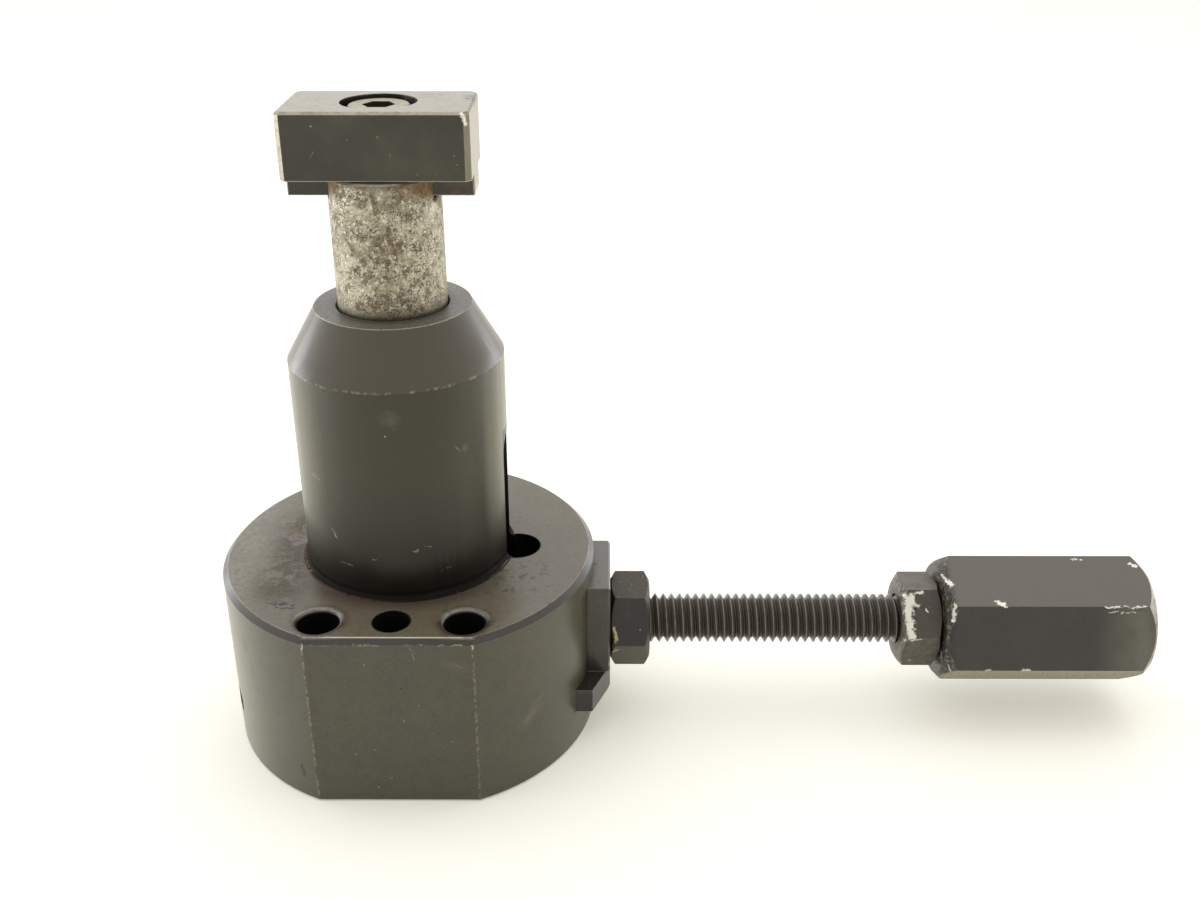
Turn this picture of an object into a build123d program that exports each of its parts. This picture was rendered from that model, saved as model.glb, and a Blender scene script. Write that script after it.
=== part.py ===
from build123d import *
import math
import os

# Adjustable work support, in millimetres: a spring-lifted plunger in a round
# body, held at its height by a hand screw through the side.
# The origin is on the body's axis, at the table. +Z is up along the plunger,
# +X runs out along the hand screw, and -Y is the side with the milled flat.

# Body: a round base with one flat, and a neck with a coned top
BASE_RADIUS = 34.925
BASE_HEIGHT = 34.925
BASE_RIM_CHAMFER = 1.0
BASE_FOOT_CHAMFER = 0.4
FLAT_DEPTH = 3.175
NECK_RADIUS = 19.05
NECK_HEIGHT = 49.2
NECK_TOP_RADIUS = 13.7
NECK_CONE_DEG = 30.0
NECK_FILLET = 1.0
BORE_MOUTH_CHAMFER = 0.4

# Plunger, with a cross slot for the head and a blind hole for the spring
PLUNGER_RADIUS = 9.525
PLUNGER_FIT = 0.05
PLUNGER_STANDOUT = 23.375
PLUNGER_EDGE = 0.6
PLUNGER_BELOW_PAD = 0.4
CROSS_SLOT_DEPTH = 3.9
SPRING_HOLE_RADIUS = 6.35
SPRING_HOLE_DEPTH = 34.5
PLUNGER_SCREW_RUNOUT = 4.4

# Rest head: a block with a tongue that keys into the cross slot
HEAD_LENGTH = 31.0
HEAD_WIDTH = 17.5
HEAD_THICKNESS = 11.1
HEAD_EDGE = 0.45
HEAD_CORNER = 0.9
TONGUE_WIDTH = 7.94
TONGUE_CORNER = 0.2
TONGUE_END_GAP = 0.4
TONGUE_FIT = 0.05
COUNTERBORE_GAP = 1.05

# Cap screw that holds the head down
SCREW_RADIUS = 3.175
SCREW_LENGTH = 19.05
SCREW_HEAD_RADIUS = 5.3
SCREW_HEAD_HEIGHT = 6.35
SCREW_HEAD_EDGE = 0.4
SCREW_RECESS = 0.5
SCREW_SOCKET_FLATS = 4.76
SCREW_SOCKET_DEPTH = 3.0
SCREW_CLEARANCE = 0.15

# Slot through the neck wall, and the pin in it that stops and steers the plunger
NECK_SLOT_WIDTH = 7.94
NECK_SLOT_HEIGHT = 24.975
GUIDE_PIN_SIDE_GAP = 0.12
GUIDE_PIN_TOP_GAP = 0.3
GUIDE_PIN_BITE = 7.525
GUIDE_PIN_INSET = 1.45
GUIDE_PIN_EDGE = 0.5

# Relief hole in the base top at the foot of the slot
RELIEF_RADIUS = 4.55
RELIEF_BEYOND_NECK = 1.15
RELIEF_DEPTH = 7.9
DRILL_POINT_DEG = 59.0

# Row of holes through the base beside the flat
HOLE_ROW_INSET = 5.75
HOLE_SPACING = 25.4
HOLD_DOWN_RADIUS = 3.6
HOLD_DOWN_EASE = 0.7
DOWEL_RADIUS = 3.3

# Radial hole that lets the spring chamber breathe
BREATHER_RADIUS = 2.6
BREATHER_Z = 9.0
BREATHER_DEG = 202.0

# Hand screw: stud, swivel pad, two nuts and a hexagon handle
LOCK_AXIS_Z = 18.6
STUD_RADIUS = 4.7625
STUD_FIT = 0.07
STUD_END_CHAMFER = 0.8
STUD_IN_HANDLE = 24.0
PAD_NOSE_GAP = 0.45
PAD_NOSE_RELIEF = 0.05
PAD_LENGTH = 8.0
PAD_EDGE = 0.3
NOSE_RADIUS = 2.6
NOSE_LENGTH = 3.0
NOSE_FIT = 0.06
NOSE_END_GAP = 0.25
NUT_FLATS = 15.875
NUT_THICKNESS = 7.6
NUT_END_RADIUS = 7.45
NUT_CHAMFER_DEG = 30.0
INNER_NUT_TURN = 3.0
STUD_BARE_LENGTH = 48.3
OUTER_NUT_TURN = 51.0
HANDLE_FLATS = 22.225
HANDLE_LENGTH = 39.7
HANDLE_END_RADIUS = 10.6
HANDLE_CHAMFER_DEG = 45.0
HANDLE_TURN = 17.0
HANDLE_HOLE_RUNOUT = 2.0

# Side plate: an upright with a wider foot, let into a pocket of the base
PLATE_STANDOUT = 3.175
PLATE_THICKNESS = 7.94
PLATE_WIDTH = 17.9
PLATE_RISE = 12.3
PLATE_DROP = 11.4
PLATE_FOOT_HEIGHT = 4.95
PLATE_FOOT_WIDTH = 30.0
PLATE_FOOT_BEVEL = 3.35
PLATE_FOOT_BEVEL_DEG = 22.5
PLATE_EDGE = 0.4
PLATE_FIT = 0.05

# Plug that closes the bore from below
BOTTOM_PLUG_RADIUS = 12.7
BOTTOM_PLUG_THICKNESS = 3.2
BOTTOM_PLUG_RECESS = 0.4
BOTTOM_PLUG_FIT = 0.05
BOTTOM_PLUG_EDGE = 0.3
DRIVER_SLOT_WIDTH = 1.8
DRIVER_SLOT_DEPTH = 1.4

# Lift spring
SPRING_WIRE = 1.0
SPRING_SIDE_GAP = 1.05
SPRING_TURNS = 7

# Places that follow from the sizes above
NECK_TOP_Z = BASE_HEIGHT + NECK_HEIGHT
NECK_SLOT_TOP_Z = BASE_HEIGHT + NECK_SLOT_HEIGHT
RELIEF_X = NECK_RADIUS + RELIEF_BEYOND_NECK
FLAT_DISTANCE = BASE_RADIUS - FLAT_DEPTH
HOLE_ROW_Y = HOLE_ROW_INSET - FLAT_DISTANCE
BORE_RADIUS = PLUNGER_RADIUS + PLUNGER_FIT
LOCK_BORE_RADIUS = STUD_RADIUS + STUD_FIT
PLUNGER_TOP_Z = NECK_TOP_Z + PLUNGER_STANDOUT
PLUNGER_BOTTOM_Z = LOCK_AXIS_Z - STUD_RADIUS - PLUNGER_BELOW_PAD
CROSS_SLOT_FLOOR_Z = PLUNGER_TOP_Z - CROSS_SLOT_DEPTH
HEAD_TOP_Z = PLUNGER_TOP_Z + HEAD_THICKNESS
TONGUE_DEPTH = CROSS_SLOT_DEPTH - TONGUE_END_GAP
TONGUE_BOTTOM_Z = PLUNGER_TOP_Z - TONGUE_DEPTH
SCREW_TOP_Z = HEAD_TOP_Z - SCREW_RECESS
SCREW_SEAT_Z = SCREW_TOP_Z - SCREW_HEAD_HEIGHT
SCREW_END_Z = SCREW_SEAT_Z - SCREW_LENGTH
COUNTERBORE_RADIUS = SCREW_HEAD_RADIUS + COUNTERBORE_GAP
GUIDE_PIN_RADIUS = NECK_SLOT_WIDTH / 2 - GUIDE_PIN_SIDE_GAP
GUIDE_PIN_Z = NECK_SLOT_TOP_Z - NECK_SLOT_WIDTH / 2 - (GUIDE_PIN_TOP_GAP - GUIDE_PIN_SIDE_GAP)
GUIDE_PIN_INNER_X = PLUNGER_RADIUS - GUIDE_PIN_BITE
GUIDE_PIN_OUTER_X = NECK_RADIUS - GUIDE_PIN_INSET
PLATE_OUTER_X = BASE_RADIUS + PLATE_STANDOUT
PLATE_SEAT_X = PLATE_OUTER_X - PLATE_THICKNESS
PLATE_TOP_Z = LOCK_AXIS_Z + PLATE_RISE
PLATE_FOOT_Z = LOCK_AXIS_Z - PLATE_DROP
PLATE_FOOT_TOP_Z = PLATE_FOOT_Z + PLATE_FOOT_HEIGHT
BOTTOM_PLUG_TOP_Z = BOTTOM_PLUG_RECESS + BOTTOM_PLUG_THICKNESS
SPRING_TOP_Z = PLUNGER_BOTTOM_Z + SPRING_HOLE_DEPTH
SPRING_RADIUS = SPRING_HOLE_RADIUS - SPRING_SIDE_GAP - SPRING_WIRE / 2
PAD_TIP_X = PLUNGER_RADIUS + PAD_NOSE_GAP
STUD_FACE_X = PAD_TIP_X + PAD_LENGTH
OUTER_NUT_X = PLATE_OUTER_X + NUT_THICKNESS + STUD_BARE_LENGTH
HANDLE_X = OUTER_NUT_X + NUT_THICKNESS
HANDLE_HOLE_DEPTH = STUD_IN_HANDLE + HANDLE_HOLE_RUNOUT

OPEN_END = 2.0
UP = (Align.CENTER, Align.CENTER, Align.MIN)


def along_x(x, z=LOCK_AXIS_Z):
    """Plane facing +X, with its own x along +Y and its y along +Z."""
    return Plane(origin=(x, 0, z), x_dir=(0, 1, 0), z_dir=(1, 0, 0))


def post(radius, bottom_z, top_z, x=0, y=0):
    """Upright cylinder between two heights."""
    return Pos(x, y, bottom_z) * Cylinder(radius, top_z - bottom_z, align=UP)


def rod(radius, from_x, to_x):
    """Cylinder along the hand screw's axis."""
    return along_x(from_x) * Cylinder(radius, to_x - from_x, align=UP)


def turned(profile_points):
    """Solid of revolution about Z, from (radius, height) points."""
    outline = Polyline(*[(r, 0, z) for r, z in profile_points], close=True)
    return revolve(make_face(outline), Axis.Z)


def edges_at_height(solid, z):
    """Edges of a solid that lie wholly in one level plane."""
    return solid.edges().filter_by_position(Axis.Z, z - 0.001, z + 0.001)


def base_blank():
    """Round base with its flat, chamfered all round its top and foot."""
    reach = 2 * BASE_RADIUS
    section = Circle(BASE_RADIUS) & Pos(0, reach / 2 - FLAT_DISTANCE) * Rectangle(reach, reach)
    blank = extrude(section, BASE_HEIGHT)
    blank = chamfer(edges_at_height(blank, BASE_HEIGHT), BASE_RIM_CHAMFER)
    return chamfer(edges_at_height(blank, 0), BASE_FOOT_CHAMFER)


def neck_blank():
    """Neck with its coned shoulder, sunk to the table so that it joins the base."""
    cone_height = (NECK_RADIUS - NECK_TOP_RADIUS) / math.tan(math.radians(NECK_CONE_DEG))
    return turned([
        (0, BASE_FOOT_CHAMFER),
        (NECK_RADIUS, BASE_FOOT_CHAMFER),
        (NECK_RADIUS, NECK_TOP_Z - cone_height),
        (NECK_TOP_RADIUS, NECK_TOP_Z),
        (0, NECK_TOP_Z),
    ])


def main_bore():
    """Plunger bore with an eased mouth, and the seat of the bottom plug."""
    bore = post(BORE_RADIUS, -OPEN_END, NECK_TOP_Z + OPEN_END)
    mouth = Pos(0, 0, NECK_TOP_Z - BORE_MOUTH_CHAMFER) * Cone(
        BORE_RADIUS, BORE_RADIUS + BORE_MOUTH_CHAMFER, BORE_MOUTH_CHAMFER, align=UP)
    return bore + mouth + post(BOTTOM_PLUG_RADIUS, -OPEN_END, BOTTOM_PLUG_TOP_Z)


def neck_slot():
    """Round-ended slot through the neck wall, open down to the base top."""
    half = NECK_SLOT_WIDTH / 2
    end_z = NECK_SLOT_TOP_Z - half
    face = along_x(0, 0)
    straight = Pos(0, (BASE_HEIGHT + end_z) / 2) * Rectangle(NECK_SLOT_WIDTH, end_z - BASE_HEIGHT)
    return extrude(face * (straight + Pos(0, end_z) * Circle(half)), NECK_RADIUS + OPEN_END)


def relief_hole():
    """Blind hole with a drill point, at the foot of the neck slot."""
    floor_z = BASE_HEIGHT - RELIEF_DEPTH
    point = RELIEF_RADIUS / math.tan(math.radians(DRILL_POINT_DEG))
    tip = Pos(RELIEF_X, 0, floor_z - point) * Cone(0, RELIEF_RADIUS, point, align=UP)
    return post(RELIEF_RADIUS, floor_z, BASE_HEIGHT, RELIEF_X) + tip


def hole_row():
    """Two hold-down holes, and a dowel hole between them."""
    cut = post(DOWEL_RADIUS, -OPEN_END, BASE_HEIGHT + OPEN_END, 0, HOLE_ROW_Y)
    for side in (-1, 1):
        x = side * HOLE_SPACING / 2
        cut += post(HOLD_DOWN_RADIUS, -OPEN_END, BASE_HEIGHT + OPEN_END, x, HOLE_ROW_Y)
    return cut


def hold_down_mouths(body):
    """Edges where the two hold-down holes leave the base top."""
    circles = edges_at_height(body, BASE_HEIGHT).filter_by(GeomType.CIRCLE)
    return circles.filter_by(lambda edge: abs(edge.radius - HOLD_DOWN_RADIUS) < 0.001)


def breather_hole():
    """Radial hole from the base's side into the spring chamber."""
    angle = math.radians(BREATHER_DEG)
    way_out = (math.cos(angle), math.sin(angle), 0)
    start = Plane(origin=(0, 0, BREATHER_Z), z_dir=way_out)
    return start * Cylinder(BREATHER_RADIUS, BASE_RADIUS + OPEN_END, align=UP)


def plate_outline(ease):
    """Inverted T of the side plate, grown by ease for the pocket."""
    stem_low = (PLATE_FOOT_Z + PLATE_FOOT_TOP_Z) / 2
    stem_top = PLATE_TOP_Z + ease
    stem = Pos(0, (stem_low + stem_top) / 2) * Rectangle(PLATE_WIDTH + 2 * ease, stem_top - stem_low)
    foot = Pos(0, stem_low) * Rectangle(PLATE_FOOT_WIDTH + 2 * ease, PLATE_FOOT_HEIGHT + 2 * ease)
    return along_x(PLATE_SEAT_X, 0) * (stem + foot)


def make_body():
    """Turned and milled body, bored for everything that it carries."""
    body = base_blank() + neck_blank()
    foot_ring = edges_at_height(body, BASE_HEIGHT).filter_by(GeomType.CIRCLE)
    body = fillet(foot_ring.sort_by(SortBy.RADIUS)[0], NECK_FILLET)
    pocket = extrude(plate_outline(PLATE_FIT), BASE_RADIUS + OPEN_END - PLATE_SEAT_X)
    body -= main_bore() + rod(LOCK_BORE_RADIUS, 0, PLATE_SEAT_X + OPEN_END)
    body -= pocket
    body -= neck_slot()
    body -= relief_hole()
    body -= hole_row()
    body = fillet(hold_down_mouths(body), HOLD_DOWN_EASE)
    return body - breather_hole()


def make_plunger():
    """Ground plunger with its cross slot, screw hole, spring hole and pin hole."""
    plunger = post(PLUNGER_RADIUS, PLUNGER_BOTTOM_Z, PLUNGER_TOP_Z)
    plunger = chamfer(plunger.edges().filter_by(GeomType.CIRCLE), PLUNGER_EDGE)
    slot_width = TONGUE_WIDTH + 2 * TONGUE_FIT
    slot = Pos(0, 0, CROSS_SLOT_FLOOR_Z) * Box(
        2 * PLUNGER_RADIUS + OPEN_END, slot_width, CROSS_SLOT_DEPTH + OPEN_END, align=UP)
    screw_hole_z = SCREW_END_Z - PLUNGER_SCREW_RUNOUT
    plunger -= slot + post(SCREW_RADIUS, screw_hole_z, CROSS_SLOT_FLOOR_Z + OPEN_END)
    plunger -= post(SPRING_HOLE_RADIUS, PLUNGER_BOTTOM_Z - OPEN_END, SPRING_TOP_Z)
    pin_hole = along_x(GUIDE_PIN_INNER_X, GUIDE_PIN_Z) * Cylinder(
        GUIDE_PIN_RADIUS, PLUNGER_RADIUS, align=UP)
    return plunger - pin_hole


def make_guide_pin():
    """Pin pressed into the plunger, reaching into the neck slot."""
    length = GUIDE_PIN_OUTER_X - GUIDE_PIN_INNER_X
    pin = along_x(GUIDE_PIN_INNER_X, GUIDE_PIN_Z) * Cylinder(GUIDE_PIN_RADIUS, length, align=UP)
    return chamfer(pin.faces().sort_by(Axis.X)[-1].edges(), GUIDE_PIN_EDGE)


def make_rest_head():
    """Rest block with its tongue, worn edges, counterbore and screw hole."""
    block = Pos(0, 0, PLUNGER_TOP_Z) * Box(HEAD_LENGTH, HEAD_WIDTH, HEAD_THICKNESS, align=UP)
    block = chamfer(block.edges().filter_by(Axis.Z), HEAD_CORNER)
    block = chamfer(block.faces().sort_by(Axis.Z)[-1].edges(), HEAD_EDGE)
    tongue = Pos(0, 0, TONGUE_BOTTOM_Z) * Box(HEAD_LENGTH, TONGUE_WIDTH, TONGUE_DEPTH, align=UP)
    tongue = chamfer(tongue.edges().filter_by(Axis.Z), TONGUE_CORNER)
    head = block + tongue
    head -= post(COUNTERBORE_RADIUS, SCREW_SEAT_Z, HEAD_TOP_Z + OPEN_END)
    return head - post(SCREW_RADIUS + SCREW_CLEARANCE, TONGUE_BOTTOM_Z - OPEN_END, HEAD_TOP_Z)


def make_head_screw():
    """Socket cap screw."""
    cap = post(SCREW_HEAD_RADIUS, SCREW_SEAT_Z, SCREW_TOP_Z)
    cap = chamfer(cap.faces().sort_by(Axis.Z)[-1].edges(), SCREW_HEAD_EDGE)
    across_corners = SCREW_SOCKET_FLATS / math.sqrt(3)
    socket = extrude(RegularPolygon(across_corners, 6), SCREW_SOCKET_DEPTH)
    shank = post(SCREW_RADIUS, SCREW_END_Z, SCREW_SEAT_Z)
    shank = chamfer(shank.faces().sort_by(Axis.Z)[0].edges(), SCREW_HEAD_EDGE)
    return cap + shank - Pos(0, 0, SCREW_TOP_Z - SCREW_SOCKET_DEPTH) * socket


def make_side_plate():
    """Side plate with a bevelled foot and the hole that the stud passes through."""
    plate = extrude(plate_outline(0), PLATE_THICKNESS)
    plate = chamfer(plate.faces().sort_by(Axis.X)[-1].edges(), PLATE_EDGE)
    run = PLATE_FOOT_BEVEL / math.tan(math.radians(PLATE_FOOT_BEVEL_DEG))
    half = PLATE_FOOT_WIDTH / 2
    corner = Polyline(
        (PLATE_OUTER_X, half - run),
        (PLATE_OUTER_X, half),
        (PLATE_OUTER_X - PLATE_FOOT_BEVEL, half),
        close=True)
    wedge = Pos(0, 0, PLATE_FOOT_Z) * extrude(make_face(corner), PLATE_FOOT_HEIGHT)
    plate -= wedge + mirror(wedge, Plane.XZ)
    return plate - rod(LOCK_BORE_RADIUS, PLATE_SEAT_X - OPEN_END, PLATE_OUTER_X + OPEN_END)


def hex_piece(flats, length, end_radius, chamfer_deg, turn, from_x):
    """Hexagon bar along X whose corners are turned back to end_radius at both ends."""
    corner = flats / math.sqrt(3)
    lead = (corner - end_radius) * math.tan(math.radians(chamfer_deg))
    prism = extrude(RegularPolygon(corner, 6, rotation=turn), length)
    envelope = turned([
        (0, 0),
        (end_radius, 0),
        (corner, lead),
        (corner, length - lead),
        (end_radius, length),
        (0, length),
    ])
    return along_x(from_x) * (prism & envelope)


def make_nut(from_x, turn):
    """Hexagon nut; its bore clears the stud's crests."""
    nut = hex_piece(NUT_FLATS, NUT_THICKNESS, NUT_END_RADIUS, NUT_CHAMFER_DEG, turn, from_x)
    return nut - rod(LOCK_BORE_RADIUS, from_x - OPEN_END, from_x + NUT_THICKNESS + OPEN_END)


def make_handle():
    """Long hexagon handle with a blind hole for the stud."""
    handle = hex_piece(
        HANDLE_FLATS, HANDLE_LENGTH, HANDLE_END_RADIUS, HANDLE_CHAMFER_DEG, HANDLE_TURN, HANDLE_X)
    return handle - rod(LOCK_BORE_RADIUS, HANDLE_X - OPEN_END, HANDLE_X + HANDLE_HOLE_DEPTH)


def make_lock_stud():
    """Stud at its crest diameter, with a nose that turns in the pad."""
    end_x = HANDLE_X + STUD_IN_HANDLE
    stud = rod(STUD_RADIUS, STUD_FACE_X, end_x)
    stud = chamfer(stud.edges().filter_by(GeomType.CIRCLE), STUD_END_CHAMFER)
    return stud + rod(NOSE_RADIUS, STUD_FACE_X - NOSE_LENGTH, STUD_FACE_X + STUD_END_CHAMFER)


def make_pressure_pad():
    """Soft pad with a hollowed nose that fits the plunger, and a socket for the stud's nose."""
    pad = rod(STUD_RADIUS, PAD_TIP_X - PAD_NOSE_GAP, STUD_FACE_X)
    pad = chamfer(pad.faces().sort_by(Axis.X)[-1].edges(), PAD_EDGE)
    hollow_radius = PLUNGER_RADIUS + PAD_NOSE_RELIEF
    below = LOCK_AXIS_Z - 2 * STUD_RADIUS
    above = LOCK_AXIS_Z + 2 * STUD_RADIUS
    pad -= post(hollow_radius, below, above, PAD_TIP_X - hollow_radius)
    return pad - rod(NOSE_RADIUS + NOSE_FIT, STUD_FACE_X - NOSE_LENGTH - NOSE_END_GAP, STUD_FACE_X)


def make_bottom_plug():
    """Screwed plug with a driver slot, set a little inside the base."""
    plug = post(BOTTOM_PLUG_RADIUS - BOTTOM_PLUG_FIT, BOTTOM_PLUG_RECESS, BOTTOM_PLUG_TOP_Z)
    plug = chamfer(plug.faces().sort_by(Axis.Z)[0].edges(), BOTTOM_PLUG_EDGE)
    slot = Pos(0, 0, BOTTOM_PLUG_RECESS) * Box(
        2 * BOTTOM_PLUG_RADIUS, DRIVER_SLOT_WIDTH, DRIVER_SLOT_DEPTH, align=UP)
    return plug - slot


def make_lift_spring():
    """Coil spring from the bottom plug to the end of the plunger's hole, ends ground flat.

    Its wire has six flats in place of a round section, since it is out of sight.
    """
    height = SPRING_TOP_Z - BOTTOM_PLUG_TOP_Z
    path = Helix(height / SPRING_TURNS, height, SPRING_RADIUS)
    start = Plane(origin=path @ 0, z_dir=path % 0)
    wire = RegularPolygon(SPRING_WIRE / 2, 6, major_radius=False)
    coil = sweep(start * wire, path, is_frenet=True)
    ground = Cylinder(SPRING_RADIUS + SPRING_WIRE, height - SPRING_WIRE / 2, align=UP)
    kept = coil & Pos(0, 0, SPRING_WIRE / 4) * ground
    return Pos(0, 0, BOTTOM_PLUG_TOP_Z) * kept


PIECES = {
    "body": make_body,
    "plunger": make_plunger,
    "guide_pin": make_guide_pin,
    "rest_head": make_rest_head,
    "head_screw": make_head_screw,
    "lift_spring": make_lift_spring,
    "bottom_plug": make_bottom_plug,
    "side_plate": make_side_plate,
    "pressure_pad": make_pressure_pad,
    "lock_stud": make_lock_stud,
    "handle": make_handle,
}


def main():
    os.makedirs("parts", exist_ok=True)
    pieces = {name: make() for name, make in PIECES.items()}
    pieces["inner_nut"] = make_nut(PLATE_OUTER_X, INNER_NUT_TURN)
    pieces["outer_nut"] = make_nut(OUTER_NUT_X, OUTER_NUT_TURN)
    for name, shape in pieces.items():
        export_step(shape, f"parts/{name}.step")


main()
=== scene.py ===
"""Looks of an adjustable work support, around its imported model.

model.glb gives every solid at its real size. This script eases the machined edges, cuts the
hand screw's thread, winds the lift spring, and dresses each piece in its worn finish. A round
body carries a spring-lifted plunger with a rest block, locked by a hand screw with a long
hexagon handle. Places are in millimetres in the part's own frame: +Z up along the plunger,
+X out along the hand screw, and -Y towards the milled flat.
"""
import logging
import math
from dataclasses import dataclass
from enum import Enum
from typing import Any

import bmesh
import bpy
from mathutils import Matrix, Vector


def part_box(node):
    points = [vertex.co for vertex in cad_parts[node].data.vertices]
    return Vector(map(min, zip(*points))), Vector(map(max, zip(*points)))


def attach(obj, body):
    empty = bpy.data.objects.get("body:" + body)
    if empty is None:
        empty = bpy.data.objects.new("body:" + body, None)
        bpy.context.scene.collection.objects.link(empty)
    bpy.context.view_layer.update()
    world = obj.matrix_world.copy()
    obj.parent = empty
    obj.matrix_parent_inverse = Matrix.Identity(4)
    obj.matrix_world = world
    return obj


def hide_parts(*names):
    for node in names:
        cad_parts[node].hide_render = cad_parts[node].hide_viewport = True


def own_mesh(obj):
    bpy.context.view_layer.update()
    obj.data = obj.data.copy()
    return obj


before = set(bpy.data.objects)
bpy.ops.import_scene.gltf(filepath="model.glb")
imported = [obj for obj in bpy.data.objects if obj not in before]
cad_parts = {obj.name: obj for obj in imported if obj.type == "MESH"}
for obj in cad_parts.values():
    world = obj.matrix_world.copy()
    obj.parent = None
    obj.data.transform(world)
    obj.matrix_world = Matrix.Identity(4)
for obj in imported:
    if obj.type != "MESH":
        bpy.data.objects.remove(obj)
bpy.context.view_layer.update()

log = logging.getLogger("work_support")

MM = 0.001
Point = tuple[float, float, float]

# Points of a mesh that lie closer than this are one
MERGE_MM = 0.001
# How far from a cutting plane a point still counts as on it
CUT_MM = 1e-5

# Inputs and output of a Mix node, which has one set for each type of data
MIX_FACTOR, MIX_FLOAT_A, MIX_FLOAT_B, MIX_COLOUR_A, MIX_COLOUR_B, MIX_COLOUR_OUT = 0, 2, 3, 6, 7, 2

# The oil film on blackened steel: as smooth as the steel's grain lets it be, and with a light oil's
# refraction, so that it is dark seen from the front and bright along the outline
FILM_ROUGHNESS = 0.3
FILM_IOR = 1.45
FILM_WEIGHT = 0.9
# The oxide under the film hardly shines by itself
OXIDE_SPECULAR = 0.1

# How far from a hard edge its wear reaches, and how many rays look for it, which are costly
EDGE_REACH_MM = 0.28
EDGE_SAMPLES = 4

# How far one step of a seed moves a pattern along each axis
SEED_STEP: Point = (17.3, 31.7, 7.9)
# Size of the finest noise that frays the outline of a mark
FRAY_MM = 0.25
# How strong the finer octaves in a cloud are
CLOUD_ROUGHNESS = 0.62
# Radius of the smallest speck of grit, as a share of the largest
SMALLEST_SPECK = 0.3

# A point on the body's axis, the directions, and which axes count in a distance from an axis
AXIS: Point = (0.0, 0.0, 0.0)
UP: Point = (0.0, 0.0, 1.0)
DOWN: Point = (0.0, 0.0, -1.0)
OUT: Point = (1.0, 0.0, 0.0)
IN: Point = (-1.0, 0.0, 0.0)
FRONT: Point = (0.0, -1.0, 0.0)
ROUND_Z: Point = (1.0, 1.0, 0.0)
ROUND_X: Point = (0.0, 1.0, 1.0)


def linear(code: str) -> tuple[float, float, float, float]:
    """Turns an sRGB hex code into a linear colour.

    Args:
        code: Six hex digits after a hash sign.

    Returns:
        Linear red, green, blue and an alpha of one.
    """
    shares = [int(code[i:i + 2], 16) / 255 for i in (1, 3, 5)]
    red, green, blue = (s / 12.92 if s <= 0.04045 else ((s + 0.055) / 1.055) ** 2.4 for s in shares)
    return red, green, blue, 1.0


def add(tree: bpy.types.NodeTree, kind: str, links: dict[Any, Any], **settings: Any) -> bpy.types.Node:
    """Adds one shader node with its settings and links.

    Args:
        tree: Node tree that gets the node.
        kind: The node's type, after the words ShaderNode.
        links: Input name or number, and the value or output socket that it takes.
        settings: Properties of the node.

    Returns:
        The new node.
    """
    node = tree.nodes.new("ShaderNode" + kind)
    for name, value in settings.items():
        setattr(node, name, value)
    for key, value in links.items():
        if isinstance(value, bpy.types.NodeSocket):
            tree.links.new(value, node.inputs[key])
        else:
            node.inputs[key].default_value = value
    return node


class Wear(Enum):
    """What a mark is: colour, roughness, metallic share and softness of its outline."""

    BARE = ("#dfdacb", 0.4, 0.75, 0.25)
    SCRATCH = ("#a8a28b", 0.45, 0.3, 0.8)
    FLECK = ("#aaa077", 0.7, 0.0, 0.5)
    RUST = ("#6a5539", 0.85, 0.0, 1.1)
    OCHRE = ("#7f6244", 0.85, 0.0, 0.7)
    AMBER = ("#7a5a10", 0.75, 0.0, 1.3)
    STAIN = ("#2b261f", 0.75, 0.0, 0.9)
    DOT = ("#120f0d", 0.7, 0.0, 0.5)
    SMUDGE = ("#86826d", 0.55, 0.0, 1.6)
    DENT = ("#6f6b58", 0.4, 0.2, 0.8)
    BRASS = ("#b3a86c", 0.42, 0.75, 0.3)
    RED = ("#a8332d", 0.6, 0.0, 0.5)


@dataclass(frozen=True)
class Mark:
    """One spot or stroke at its own place on a piece.

    Attributes:
        wear: What the mark is.
        reach: Half its width, in mm.
        start: One end of the stroke, in mm.
        end: Its other end, or None for a spot.
        ragged: How far noise moves its outline, as a share of the half width.
        amount: How strongly it covers what lies under it.
    """

    wear: Wear
    reach: float
    start: Point
    end: Point | None = None
    ragged: float = 0.8
    amount: float = 1.0


@dataclass(frozen=True)
class Base:
    """The even finish that a coat starts from."""

    colour: str
    roughness: float
    metallic: float = 0.0
    specular: float = 0.5


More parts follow.
